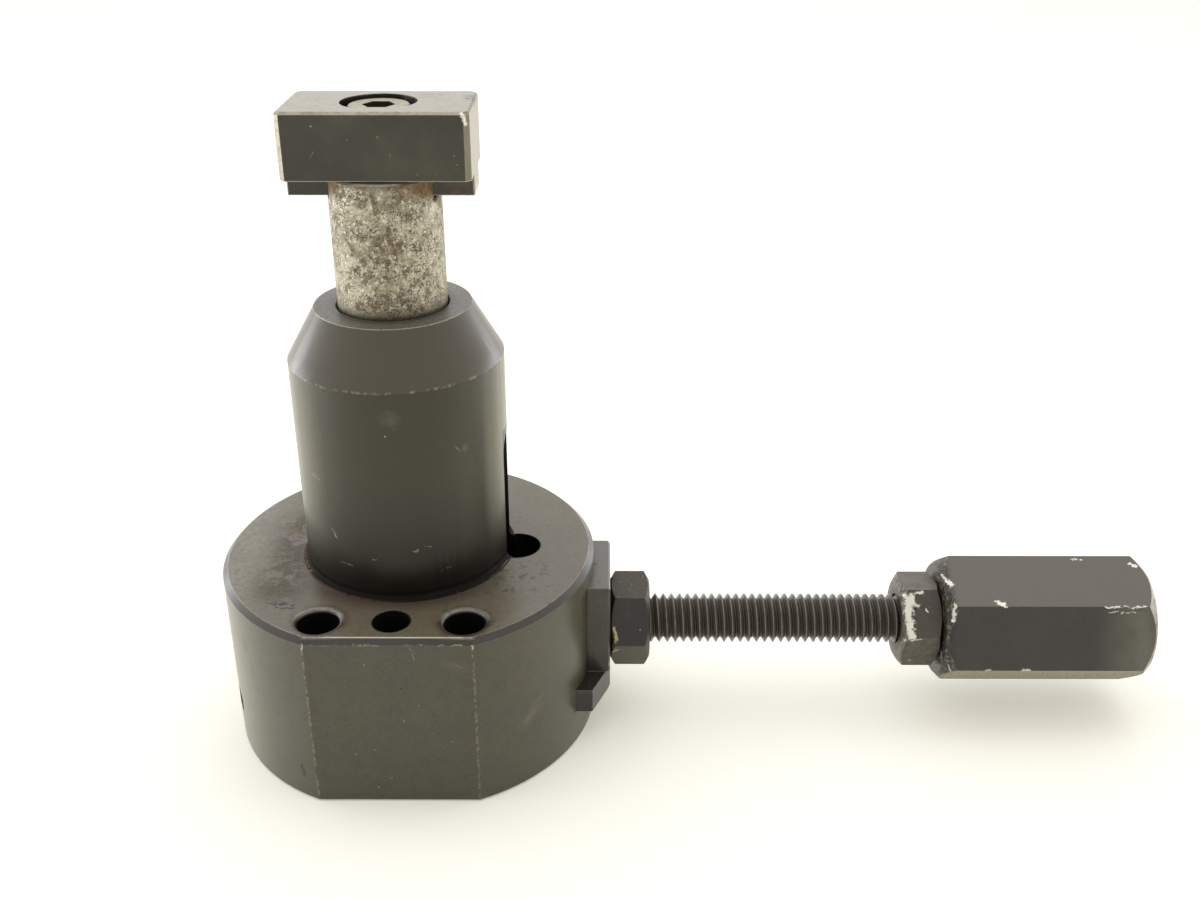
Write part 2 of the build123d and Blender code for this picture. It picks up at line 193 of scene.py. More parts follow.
class Coat:
    """One finish, laid on in layers and ending in a single Principled shader."""

    def __init__(self, name: str, base: Base) -> None:
        """Starts the material.

        Args:
            name: The material's name.
            base: The finish under all layers.
        """
        self.material = bpy.data.materials.new(name)
        self.material.use_nodes = True
        self.tree = self.material.node_tree
        self.tree.nodes.clear()
        source = add(self.tree, "TexCoord", {})
        scaled = add(self.tree, "VectorMath", {0: source.outputs["Object"], "Scale": 1 / MM},
                     operation="SCALE")
        self.place = scaled.outputs[0]
        self.normal = source.outputs["Normal"]
        self.base = base
        self.colour: Any = linear(base.colour)
        self.roughness: Any = base.roughness
        self.metallic: Any = base.metallic
        self.relief: Any = 0.0
        self.film: Any = 0.0
        self.frays: dict[float, Any] = {}
        self.bent: Any = None
        self.turn: Any = None

    def moved(self, scale: float, swing_mm: float) -> Any:
        """Position moved about by coarse noise.

        Args:
            scale: Waves of the noise per mm.
            swing_mm: How far apart its extremes would move a point.

        Returns:
            The position's socket.
        """
        noise = add(self.tree, "TexNoise", {"Vector": self.place, "Scale": scale, "Detail": 2.0})
        centred = add(self.tree, "VectorMath", {0: noise.outputs["Color"], 1: (0.5, 0.5, 0.5)},
                      operation="SUBTRACT")
        return add(self.tree, "VectorMath", {0: centred.outputs[0], 1: (swing_mm,) * 3, 2: self.place},
                   operation="MULTIPLY_ADD").outputs[0]

    def shifted(self, seed: float, stretch: Point, warp_mm: float) -> Any:
        """Position for one pattern, moved away from the others, stretched and bent.

        Args:
            seed: A number that sets the pattern apart.
            stretch: Scale along each axis before the pattern.
            warp_mm: How far noise bends the pattern.

        Returns:
            The position's socket.
        """
        place = self.moved(0.5 / warp_mm, 4 * warp_mm) if warp_mm else self.place
        offset = tuple(seed * step for step in SEED_STEP)
        return add(self.tree, "Mapping", {"Vector": place, "Location": offset, "Scale": stretch}).outputs[0]

    def cloud(self, size_mm: float, low: float, high: float, seed: float, detail: float = 3.0,
              stretch: Point = (1.0, 1.0, 1.0), warp_mm: float = 0.0) -> Any:
        """Patches with soft edges.

        Args:
            size_mm: Size of one patch.
            low: Noise level at which a patch starts to show.
            high: Noise level at which it is full.
            seed: A number that sets the pattern apart.
            detail: Octaves of finer noise in it.
            stretch: Scale along each axis before the pattern.
            warp_mm: How far the pattern is bent.

        Returns:
            A mask from 0 to 1.
        """
        place = self.shifted(seed, stretch, warp_mm)
        noise = add(self.tree, "TexNoise",
                    {"Vector": place, "Scale": 1 / size_mm, "Detail": detail,
                     "Roughness": CLOUD_ROUGHNESS})
        return add(self.tree, "MapRange", {"Value": noise.outputs[0], "From Min": low, "From Max": high},
                   interpolation_type="SMOOTHSTEP").outputs[0]

    def grit(self, size_mm: float, share: float, seed: float, reach: float = 0.42,
             stretch: Point = (1.0, 1.0, 1.0), warp_mm: float = 0.15) -> Any:
        """Separate specks of uneven size.

        Args:
            size_mm: Mean distance between possible specks.
            share: Share of those places that hold one.
            seed: A number that sets the pattern apart.
            reach: Largest radius of a speck, as a share of that distance.
            stretch: Scale along each axis before the pattern.
            warp_mm: How far the specks are bent.

        Returns:
            A mask from 0 to 1.
        """
        place = self.shifted(seed, stretch, warp_mm)
        cells = add(self.tree, "TexVoronoi", {"Vector": place, "Scale": 1 / size_mm})
        random = add(self.tree, "SeparateColor", {"Color": cells.outputs["Color"]})
        chosen = add(self.tree, "Math", {0: random.outputs["Red"], 1: share}, operation="LESS_THAN")
        radius = add(self.tree, "MapRange",
                     {"Value": random.outputs["Green"], "To Min": SMALLEST_SPECK * reach,
                      "To Max": reach})
        near = add(self.tree, "Math", {0: cells.outputs["Distance"], 1: radius.outputs[0]},
                   operation="DIVIDE")
        spot = add(self.tree, "MapRange", {"Value": near.outputs[0], "From Min": 1.0, "From Max": 0.6})
        return self.share([chosen.outputs[0], spot.outputs[0]])

    def stroke(self, mark: Mark) -> Any:
        """The area of one mark.

        Args:
            mark: The mark.

        Returns:
            A mask from 0 to 1, over a spot or a capsule between the mark's ends.
        """
        start = Vector(mark.start)
        place = self.place if mark.end is None else self.curved()
        away = add(self.tree, "VectorMath", {0: place, 1: tuple(start)}, operation="SUBTRACT").outputs[0]
        if mark.end is not None:
            along = Vector(mark.end) - start
            reached = add(self.tree, "VectorMath", {0: away, 1: tuple(along / along.length_squared)},
                          operation="DOT_PRODUCT").outputs["Value"]
            share = add(self.tree, "Math", {0: reached, 1: 1.0}, operation="MULTIPLY",
                        use_clamp=True).outputs[0]
            foot = add(self.tree, "VectorMath", {0: tuple(-along), "Scale": share},
                       operation="SCALE").outputs[0]
            away = add(self.tree, "VectorMath", {0: away, 1: foot}, operation="ADD").outputs[0]
        distance = add(self.tree, "VectorMath", {0: away}, operation="LENGTH").outputs["Value"]
        swing = 2 * mark.ragged * mark.reach
        moved = add(self.tree, "Math", {0: self.ragged(mark.reach), 1: swing, 2: distance},
                    operation="MULTIPLY_ADD")
        edge = mark.reach + swing / 2
        soft = mark.wear.value[-1] * mark.reach
        area = add(self.tree, "MapRange",
                   {"Value": moved.outputs[0], "From Min": edge + soft, "From Max": edge - soft}).outputs[0]
        return self.share([area], mark.amount)

    def curved(self) -> Any:
        """Position that bends every stroke a little, made once.

        Returns:
            The position's socket.
        """
        if self.bent is None:
            self.bent = self.moved(0.9, 1.1)
        return self.bent

    def ragged(self, reach_mm: float) -> Any:
        """Noise that frays the outlines of marks of about one size, made once for each size.

        Args:
            reach_mm: Half the width of the mark.

        Returns:
            The noise's socket.
        """
        size = FRAY_MM * 2 ** round(math.log2(max(reach_mm, 0.8 * FRAY_MM) / FRAY_MM))
        if size not in self.frays:
            self.frays[size] = add(self.tree, "TexNoise", {
                "Vector": self.place, "Scale": 1.3 / size, "Detail": 3.0, "Roughness": 0.6}).outputs[0]
        return self.frays[size]

    def facing(self, direction: Point, low: float, high: float) -> Any:
        """Where the surface of the piece itself faces a direction.

        Args:
            direction: The direction.
            low: Cosine of the angle to it at which the mask is 0.
            high: Cosine at which it is 1.

        Returns:
            A mask from 0 to 1.
        """
        turned = add(self.tree, "VectorMath", {0: self.normal, 1: direction}, operation="DOT_PRODUCT")
        return add(self.tree, "MapRange",
                   {"Value": turned.outputs["Value"], "From Min": low, "From Max": high}).outputs[0]

    def level(self, direction: Point, start_mm: float, full_mm: float) -> Any:
        """A ramp along a direction.

        Args:
            direction: The direction.
            start_mm: Distance along it from the origin at which the mask is 0.
            full_mm: Distance at which it is 1.

        Returns:
            A mask from 0 to 1.
        """
        reached = add(self.tree, "VectorMath", {0: self.place, 1: direction}, operation="DOT_PRODUCT")
        return add(self.tree, "MapRange",
                   {"Value": reached.outputs["Value"], "From Min": start_mm, "From Max": full_mm},
                   interpolation_type="SMOOTHSTEP").outputs[0]

    def radial(self, centre: Point, across: Point, start_mm: float, full_mm: float) -> Any:
        """A ramp by distance from an axis.

        Args:
            centre: A point on the axis, in mm.
            across: One along each axis that counts, and zero along the axis itself.
            start_mm: Distance at which the mask is 0.
            full_mm: Distance at which it is 1.

        Returns:
            A mask from 0 to 1.
        """
        away = add(self.tree, "VectorMath", {0: self.place, 1: centre}, operation="SUBTRACT").outputs[0]
        flat = add(self.tree, "VectorMath", {0: away, 1: across}, operation="MULTIPLY").outputs[0]
        distance = add(self.tree, "VectorMath", {0: flat}, operation="LENGTH").outputs["Value"]
        return add(self.tree, "MapRange", {"Value": distance, "From Min": start_mm, "From Max": full_mm},
                   interpolation_type="SMOOTHSTEP").outputs[0]

    def edges(self, low: float = 0.02, high: float = 0.14) -> Any:
        """Where a hard edge is near. The costly node behind it is made once.

        Args:
            low: Turn of the rounded normal, as one less its cosine, at which the mask is 0.
            high: Turn at which it is 1.

        Returns:
            A mask from 0 to 1.
        """
        if self.turn is None:
            rounded = add(self.tree, "Bevel", {"Radius": EDGE_REACH_MM * MM}, samples=EDGE_SAMPLES)
            true = add(self.tree, "NewGeometry", {})
            self.turn = add(self.tree, "VectorMath",
                            {0: rounded.outputs[0], 1: true.outputs["True Normal"]},
                            operation="DOT_PRODUCT").outputs["Value"]
        return add(self.tree, "MapRange",
                   {"Value": self.turn, "From Min": 1 - low, "From Max": 1 - high}).outputs[0]

    def within(self, low: Point, high: Point, soft_mm: float) -> Any:
        """A box-shaped area with soft sides.

        Args:
            low: Its lowest corner, in mm.
            high: Its highest corner.
            soft_mm: Width of the ramp at each side.

        Returns:
            A mask from 0 to 1.
        """
        sides = []
        for axis in range(3):
            along = tuple(1.0 if i == axis else 0.0 for i in range(3))
            back = tuple(-c for c in along)
            sides.append(self.level(along, low[axis] - soft_mm, low[axis] + soft_mm))
            sides.append(self.level(back, -high[axis] - soft_mm, -high[axis] + soft_mm))
        return self.share(sides)

    def share(self, masks: list[Any], amount: float = 1.0) -> Any:
        """The product of several masks.

        Args:
            masks: The masks.
            amount: A number to multiply them by.

        Returns:
            The product's socket, or the amount if there are no masks.
        """
        product: Any = amount
        for mask in masks:
            if product == 1.0:
                product = mask
            else:
                product = add(self.tree, "Math", {0: mask, 1: product}, operation="MULTIPLY").outputs[0]
        return product

    def lay(self, masks: list[Any], colour: str | None = None, roughness: float | None = None,
            metallic: float | None = None, relief_mm: float = 0.0, amount: float = 1.0,
            film: float | None = None) -> None:
        """Lays one layer over what is there.

        Args:
            masks: Masks whose product says where the layer lies.
            colour: Its hex colour, or None to keep the one below.
            roughness: Its roughness, or None to keep the one below.
            metallic: Its metallic share, or None to keep the one below.
            relief_mm: How far it stands up, or is sunk if negative.
            amount: How strongly it covers.
            film: How much oil film lies on it, or None to keep what is below.
        """
        where = self.share(masks, amount)
        if colour is not None:
            links = {MIX_FACTOR: where, MIX_COLOUR_A: self.colour, MIX_COLOUR_B: linear(colour)}
            self.colour = add(self.tree, "Mix", links, data_type="RGBA").outputs[MIX_COLOUR_OUT]
        if roughness is not None:
            links = {MIX_FACTOR: where, MIX_FLOAT_A: self.roughness, MIX_FLOAT_B: roughness}
            self.roughness = add(self.tree, "Mix", links).outputs[0]
        if metallic is not None and metallic != self.metallic:
            links = {MIX_FACTOR: where, MIX_FLOAT_A: self.metallic, MIX_FLOAT_B: metallic}
            self.metallic = add(self.tree, "Mix", links).outputs[0]
        if film is not None:
            links = {MIX_FACTOR: where, MIX_FLOAT_A: self.film, MIX_FLOAT_B: film}
            self.film = add(self.tree, "Mix", links).outputs[0]
        if relief_mm:
            self.relief = add(self.tree, "Math", {0: where, 1: relief_mm, 2: self.relief},
                              operation="MULTIPLY_ADD").outputs[0]

    def lay_marks(self, marks: list[Mark]) -> None:
        """Lays all marks of each kind of wear together, with the look of that kind.

        Args:
            marks: The marks of a whole piece.
        """
        for wear in Wear:
            areas = [self.stroke(mark) for mark in marks if mark.wear is wear]
            if not areas:
                continue
            together = areas[0]
            for area in areas[1:]:
                together = add(self.tree, "Math", {0: together, 1: area}, operation="MAXIMUM").outputs[0]
            colour, roughness, metallic, _ = wear.value
            self.lay([together], colour, roughness, metallic)

    def finish(self) -> bpy.types.Material:
        """Joins the layers to the shader.

        Returns:
            The finished material.
        """
        links = {"Base Color": self.colour, "Roughness": self.roughness, "Metallic": self.metallic,
                 "Specular IOR Level": self.base.specular, "Coat Weight": self.film,
                 "Coat Roughness": FILM_ROUGHNESS, "Coat IOR": FILM_IOR}
        if isinstance(self.relief, bpy.types.NodeSocket):
            bump = add(self.tree, "Bump", {"Height": self.relief, "Distance": MM})
            links["Normal"] = bump.outputs[0]
        shader = add(self.tree, "BsdfPrincipled", links)
        add(self.tree, "OutputMaterial", {"Surface": shader.outputs[0]})
        return self.material


def new_piece(name: str, mesh: bmesh.types.BMesh, body: str, replaced: str) -> bpy.types.Object:
    """Makes an object of a finished bmesh and lets it stand for a solid.

    Args:
        name: The piece's name.
        mesh: Its shape, which is freed.
        body: The body that it moves with.
        replaced: The solid that it stands for.

    Returns:
        The new object.
    """
    data = bpy.data.meshes.new(name)
    mesh.to_mesh(data)
    mesh.free()
    piece = bpy.data.objects.new(name, data)
    bpy.context.scene.collection.objects.link(piece)
    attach(piece, body)
    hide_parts(replaced)
    log.info("%s: %d faces, rides on %s", name, len(data.polygons), body)
    return piece


@dataclass
class Eased:
    """A solid whose hard edges are eased as a file or a tumbler leaves them.

    Attributes:
        node: The solid.
        body: The body that it belongs to.
        slot: Its material slot; not used.
        ease: Width of the eased edge, in mm.
        hard_deg: Angle between two faces from which their edge is a hard one.
        facet_deg: Angle under which two faces are one.
        rounds: Faces across an eased edge.
    """

    node: str
    body: str
    slot: str
    ease: float = 0.15
    hard_deg: float = 21.0
    facet_deg: float = 0.4
    rounds: int = 2

    def build(self) -> bpy.types.Object:
        """Copies the solid, merges its triangles into faces and eases its edges.

        Returns:
            The piece.
        """
        mesh = bmesh.new()
        mesh.from_mesh(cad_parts[self.node].data)
        bmesh.ops.remove_doubles(mesh, verts=mesh.verts, dist=MERGE_MM * MM)
        bmesh.ops.dissolve_limit(mesh, angle_limit=math.radians(self.facet_deg), verts=mesh.verts,
                                 edges=mesh.edges, use_dissolve_boundaries=False, delimit={"NORMAL"})
        piece = new_piece(self.node + "_eased", mesh, self.body, self.node)
        piece.data.set_sharp_from_angle(angle=math.radians(self.hard_deg))
        bevel = piece.modifiers.new("eased_edges", "BEVEL")
        bevel.width = self.ease * MM
        bevel.segments = self.rounds
        bevel.limit_method = "ANGLE"
        bevel.angle_limit = math.radians(self.hard_deg)
        bevel.harden_normals = True
        bevel.use_clamp_overlap = True
        return piece


def dress(piece: bpy.types.Object, coat: Coat) -> None:
    """Gives a piece its finished coat in place of what it had."""
    piece.data.materials.clear()
    piece.data.materials.append(coat.finish())


@dataclass(frozen=True)
class BlackOxide:
    """Steel blackened in a hot salt bath and oiled: near black, olive where it has worn thin.

    Attributes:
        name: The material's name.
        colour: Its colour where it is clean.
        roughness: Its roughness there.
        dust: How much light dust and lint it holds.
        worn: How far its edges are rubbed bare.
    """

    name: str
    colour: str = "#545240"
    roughness: float = 0.42
    dust: float = 0.5
    worn: float = 0.5

    def coat(self) -> Coat:
        """The blackened steel with its clouds, grain, dust and rubbed edges.

        Returns:
            The coat.
        """
        coat = Coat(self.name, Base(self.colour, self.roughness, specular=OXIDE_SPECULAR))
        coat.film = FILM_WEIGHT
        coat.lay([coat.cloud(11.0, 0.35, 0.72, seed=1.0)], "#5d5b48", roughness=0.5, amount=0.45)
        coat.lay([coat.cloud(2.4, 0.45, 0.75, seed=1.5)], "#403d2f", roughness=0.4, amount=0.3)
        # The bath's own grain is a few hundredths of a mm across, too fine to show, so it is drawn coarser
        coat.lay([coat.cloud(0.45, 0.42, 0.75, seed=2.0, detail=4.0)], "#3a382b", amount=0.45)
        coat.lay([coat.grit(1.9, 0.3, seed=3.0, reach=0.1)], "#2a2620", amount=0.8)
        coat.lay([coat.grit(2.7, 0.35, seed=4.0, reach=0.08)], "#a19d8a", 0.6, amount=self.dust)
        rubbed = [coat.edges(), coat.cloud(1.1, 0.4, 0.56, seed=6.0, detail=4.0)]
        coat.lay(rubbed, "#bab39f", 0.42, 0.3, amount=self.worn)
        return coat


@dataclass
class MachinedBody:
    """The turned and milled body, with the wear of its own places.

    Attributes:
        top: Height of the base.
        flat: Distance of the milled flat from the axis.
        neck_radius: Radius of the neck.
        cone_low: Height at which the neck's cone starts.
        neck_top: Height of the neck's top.
        bore: Radius of the plunger's bore.
        hole_row: Distance of the hole row in front of the axis.
        hole_spacing: Distance between the outer holes.
        hole_radius: Radius of the outer holes.
        middle_radius: Radius of the middle hole.
        relief_at: Distance of the relief hole from the axis.
        relief_radius: Radius of the relief hole.
        flat_half: Half the milled flat's width.
    """

    top: float = 34.925
    flat: float = 31.75
    neck_radius: float = 19.05
    cone_low: float = 74.86
    neck_top: float = 84.125
    bore: float = 9.575
    hole_row: float = 26.0
    hole_spacing: float = 25.4
    hole_radius: float = 3.6
    middle_radius: float = 3.3
    relief_at: float = 20.2
    relief_radius: float = 4.55
    flat_half: float = 14.55

    def top_face(self, coat: Coat) -> None:
        """Purple-brown top of the base, its rim, the cone and the neck's top, each toned by the way it
        faces: painted light.

        Args:
            coat: The body's coat.
        """
        near_top = [coat.facing(UP, 0.2, 0.5), coat.level(DOWN, -40.0, -36.5)]
        # Painted light: the up-facing faces near the base top painted purple-brown
        coat.lay(near_top, "#69614f", 0.52)
        # Painted highlight: the left of the base top painted lighter
        coat.lay([*near_top, coat.level(IN, 22.0, 32.0)], "#a09a8f", amount=0.5)
        coat.lay([*near_top, coat.cloud(1.0, 0.42, 0.68, seed=8.0, detail=4.0)], "#4a433a", amount=0.4)
        coat.lay([*near_top, coat.cloud(6.0, 0.45, 0.65, seed=9.0)], "#6d665a", amount=0.4)
        coat.lay([*near_top, coat.grit(0.9, 0.35, seed=9.5, reach=0.2)], "#2d2822", amount=0.6)
        coat.lay([*near_top, coat.grit(1.6, 0.25, seed=9.8, reach=0.12)], "#a39d8b", amount=0.6)
        # Painted light: the rim chamfer painted darker by the way it faces
        rim = [coat.facing(UP, 0.3, 0.5), coat.facing(DOWN, -0.9, -0.8), coat.level(DOWN, -40.0, -36.5)]
        coat.lay(rim, "#3f3833", 0.45)
        # Painted light: the cone painted its own tone by the way it faces
        cone = [coat.facing(UP, 0.3, 0.4), coat.facing(DOWN, -0.8, -0.7),
                coat.level(UP, 73.0, self.cone_low)]
        coat.lay(cone, "#504a3c", 0.45)
        # Painted light: the neck's top painted lighter where it faces up
        crown = [coat.facing(UP, 0.75, 0.9), coat.level(UP, self.neck_top - 1.5, self.neck_top - 0.6)]
        coat.lay(crown, "#6b655c", 0.55)
        coat.lay([*crown, coat.cloud(0.6, 0.45, 0.62, seed=10.0, detail=4.0)], "#3d372f", amount=0.6)
        coat.lay([*crown, coat.grit(0.8, 0.4, seed=11.0, reach=0.3)], "#9a9482", amount=0.6)
        # Painted shade: the neck's top darker round the gap where the plunger enters
        coat.lay([*crown, coat.radial(AXIS, ROUND_Z, 11.9, 9.9)], "#29241e", amount=0.55)

    def neck_shade(self, coat: Coat) -> None:
        """Painted reflections on the neck's front and on neck and base sides, painted shade towards the
        neck's foot, and rust there.

        Args:
            coat: The body's coat.
        """
        neck = [coat.level(DOWN, -self.cone_low - 0.2, -self.cone_low + 0.2),
                coat.level(UP, self.top + 0.2, self.top + 1.2), coat.facing(DOWN, -0.3, -0.1)]
        # Painted reflection: the neck's front painted dark, as the dim room shows in it
        coat.lay([*neck, coat.facing(FRONT, 0.3, 0.92)], "#2e2b15", amount=0.8)
        # Painted reflection: the neck's left and right sides painted lighter
        for side, start, amount in ((IN, 0.6, 0.7), (OUT, 0.8, 0.6)):
            coat.lay([*neck, coat.facing(side, start, 0.98)], "#7b785a", amount=amount)
        # Painted reflection: the base's left side painted lighter
        wall = [coat.level(DOWN, -34.0, -33.6), coat.facing(DOWN, -0.3, -0.1)]
        coat.lay([*wall, coat.facing(IN, 0.65, 0.97)], "#74735a", amount=0.55)
        # Painted shade: the neck darker and with less oil film towards its foot
        coat.lay([*neck, coat.level(DOWN, -60.0, -38.0)], "#1a160e", 0.4, amount=0.8, film=0.45)
        coat.lay([*neck, coat.level(DOWN, -43.0, -37.0)], "#120e09", 0.6, amount=0.85, film=0.05)
        # Painted shade: the base top darker in front of the neck
        middle = coat.radial(AXIS, ROUND_Z, self.neck_radius + 5.0, self.neck_radius + 0.6)
        in_front = coat.level(FRONT, 8.0, 19.0)
        coat.lay([middle, in_front, coat.facing(UP, 0.5, 0.9), coat.level(DOWN, -37.0, -35.5)],
                 "#332c25", 0.6, amount=0.6)
        at_foot = coat.level(DOWN, -37.0, -36.2)
        # Painted shade: the fillet at the neck's foot painted near black
        fillet = [coat.radial(AXIS, ROUND_Z, self.neck_radius + 1.1, self.neck_radius + 0.8), at_foot]
        coat.lay(fillet, "#130f0a", 0.85, amount=0.95, film=0.0)
        line = [coat.radial(AXIS, ROUND_Z, self.neck_radius + 1.2, self.neck_radius + 0.95),
                coat.radial(AXIS, ROUND_Z, self.neck_radius + 0.45, self.neck_radius + 0.75), at_foot]
        coat.lay([*line, coat.cloud(1.5, 0.3, 0.55, seed=12.0), coat.level(IN, -3.0, 8.0)], "#62483a", 0.7,
                 amount=0.8)

    def grime(self, coat: Coat) -> None:
        """Old dried coolant on the base top, left of the neck, with its pits and rust.

        Args:
            coat: The body's coat.
        """
        patch = [coat.within((-25.8, -19.0, 34.0), (-17.5, 12.0, 36.0), 3.2),
                 coat.cloud(3.4, 0.38, 0.52, seed=13.0, detail=5.0, warp_mm=1.2)]
        coat.lay(patch, "#443d25", 0.8, amount=0.85, film=0.1)
        coat.lay([*patch, coat.cloud(0.5, 0.53, 0.57, seed=14.0, detail=3.0)], "#14110b", amount=0.9)
        coat.lay([*patch, coat.grit(0.65, 0.4, seed=14.2, reach=0.28)], "#17130d", amount=0.9)
        coat.lay([*patch, coat.grit(0.8, 0.4, seed=14.5, reach=0.25)], "#a09980", amount=0.75)
        coat.lay([*patch, coat.grit(1.9, 0.2, seed=15.0, reach=0.25)], "#6f5642", amount=0.8)
        streak = [coat.within((-22.6, -22.2, 34.0), (-17.6, -19.8, 36.0), 0.5),
                  coat.cloud(0.8, 0.5, 0.56, seed=16.0, detail=4.0, stretch=(0.7, 1.3, 1.0))]
        coat.lay(streak, "#17130f", 0.75)
        right = [coat.within((14.0, -18.0, 34.0), (27.0, -6.0, 36.0), 2.0),
                 coat.cloud(1.4, 0.52, 0.62, seed=17.0, detail=5.0)]
        coat.lay(right, "#2f2a24", 0.7, amount=0.8)

    def holes(self, coat: Coat) -> None:
        """Painted shade in the bores and slot, a painted highlight on far lips, eased mouths, and brown
        halos where coolant stood round them.

        Args:
            coat: The body's coat.
        """
        half = self.hole_spacing / 2
        rows = [((-half, -self.hole_row, 0.0), self.hole_radius, 0.7),
                ((0.0, -self.hole_row, 0.0), self.middle_radius, 0.15),
                ((half, -self.hole_row, 0.0), self.hole_radius, 0.7),
                ((self.relief_at, 0.0, 0.0), self.relief_radius, 0.15)]
        below_neck = coat.level(DOWN, -36.0, -35.2)
        for centre, radius, eased in rows:
            near = coat.radial(centre, ROUND_Z, radius + eased + 1.7, radius + eased)
            if eased > 0.5:
                coat.lay([near, below_neck, coat.cloud(1.8, 0.36, 0.6, seed=18.0)], "#473527", 0.65,
                         amount=0.8)
                lip = [coat.radial(centre, ROUND_Z, radius + eased + 0.5, radius + eased + 0.1), below_neck]
                coat.lay(lip, "#3a3027", 0.5, amount=0.8)
                # Painted highlight: the lip on the far side of each outer hole painted lighter
                far = coat.level(FRONT, self.hole_row + 0.6, self.hole_row - 2.4)
                coat.lay([*lip, far, coat.cloud(1.6, 0.2, 0.5, seed=18.5)], "#8a8578", 0.42, 0.2,
                         amount=0.9)
            # Painted shade: the inside of each hole painted near black
            inside = coat.radial(centre, ROUND_Z, radius + 0.3, radius + 0.02)
            coat.lay([inside, below_neck], "#0e0c0a", 0.6)
        # Painted shade: the plunger's bore and the guide slot painted near black
        bore = coat.radial(AXIS, ROUND_Z, self.bore + 0.45, self.bore + 0.05)
        coat.lay([bore], "#12100d", 0.6)
        slot = [coat.level(OUT, self.bore, self.bore + 0.5),
                coat.within((9.0, -4.1, 33.0), (22.0, 4.1, 61.0), 0.12)]
        coat.lay(slot, "#15130f", 0.6)

    def worn_edges(self, coat: Coat) -> None:
        """Edges rubbed bright: along the flat's top, the rim, the cone's top and down the flat's sides.

        Args:
            coat: The body's coat.
        """
        at_flat = coat.level(FRONT, self.flat - 1.3, self.flat - 0.9)
        chamfer = [at_flat, coat.within((-14.6, -32.5, 33.9), (14.6, -30.0, 34.8), 0.1)]
        coat.lay(chamfer, "#2e2924", 0.5, amount=0.8)
        line = [coat.level(FRONT, self.flat - 1.7, self.flat - 1.3), coat.edges(0.004, 0.035),
                coat.level(UP, self.top - 0.4, self.top - 0.2)]
        coat.lay([*line, coat.cloud(1.0, 0.3, 0.45, seed=19.0)], "#d6cfba", 0.4, 0.4)
        crest = [coat.within((-14.4, -30.88, 34.8), (14.4, -30.64, 35.0), 0.07),
                 coat.cloud(1.2, 0.24, 0.4, seed=19.5)]
        coat.lay(crest, "#d6cfba", 0.4, 0.4, amount=0.9)
        flecks = [coat.within((-14.8, -32.5, 33.75), (14.8, -31.6, 34.1), 0.12),
                  coat.cloud(1.1, 0.5, 0.6, seed=20.0, detail=4.0, stretch=(0.5, 1.0, 1.6))]
        coat.lay(flecks, "#a8a189", 0.5, 0.1, amount=0.85)
        rim = [coat.edges(0.01, 0.06), coat.level(UP, self.top - 0.4, self.top - 0.2),
               coat.level(DOWN, -self.top - 0.6, -self.top - 0.3), coat.cloud(2.2, 0.35, 0.5, seed=21.0)]
        coat.lay(rim, "#b3ac9a", 0.42, 0.3, amount=0.7)
        crown = [coat.edges(0.01, 0.05), coat.level(UP, self.neck_top - 0.6, self.neck_top - 0.3),
                 coat.cloud(1.6, 0.3, 0.44, seed=22.0), coat.level(FRONT, 2.0, 8.0)]
        coat.lay(crown, "#d3cdb9", 0.4, 0.4)
        foot = [coat.level(DOWN, -0.62, -0.42),
                coat.cloud(1.4, 0.5, 0.62, seed=23.0, stretch=(1.0, 1.0, 2.0))]
        coat.lay(foot, "#9b957f", 0.5, amount=0.5)
        cone_foot = [coat.within((-20.0, -20.0, self.cone_low - 0.2),
                                 (20.0, 5.0, self.cone_low + 0.2), 0.14),
                     coat.cloud(1.3, 0.5, 0.64, seed=24.0, detail=5.0)]
        coat.lay(cone_foot, "#948e79", 0.5, amount=0.7)
        for side in (-1, 1):
            corner = [coat.within((side * self.flat_half - 0.22, -32.5, 0.5),
                                  (side * self.flat_half + 0.22, -31.0, 34.0), 0.12),
                      coat.cloud(0.8, 0.45, 0.58, seed=24.5, detail=4.0)]
            coat.lay(corner, "#9a937d", 0.5, 0.1, amount=0.5)

    def rust(self, coat: Coat) -> None:
        """Painted shadow beside the side plate: a brown band on the body and a dark line in the seam.

        Args:
            coat: The body's coat.
        """
        # Painted shadow: a brown band on the body in front of the plate's edge
        seam = [coat.within((32.0, -12.0, 2.0), (34.2, -8.5, 31.0), 0.9),
                coat.cloud(1.6, 0.32, 0.6, seed=25.0, detail=4.0, stretch=(1.0, 1.0, 0.6))]
        coat.lay(seam, "#453724", 0.75, amount=0.85)
        # Painted shadow: a dark line in the seam
        joint = coat.within((33.0, -9.9, 2.0), (35.0, -8.9, 31.0), 0.25)
        coat.lay([joint], "#1f1a13", 0.7, amount=0.85)

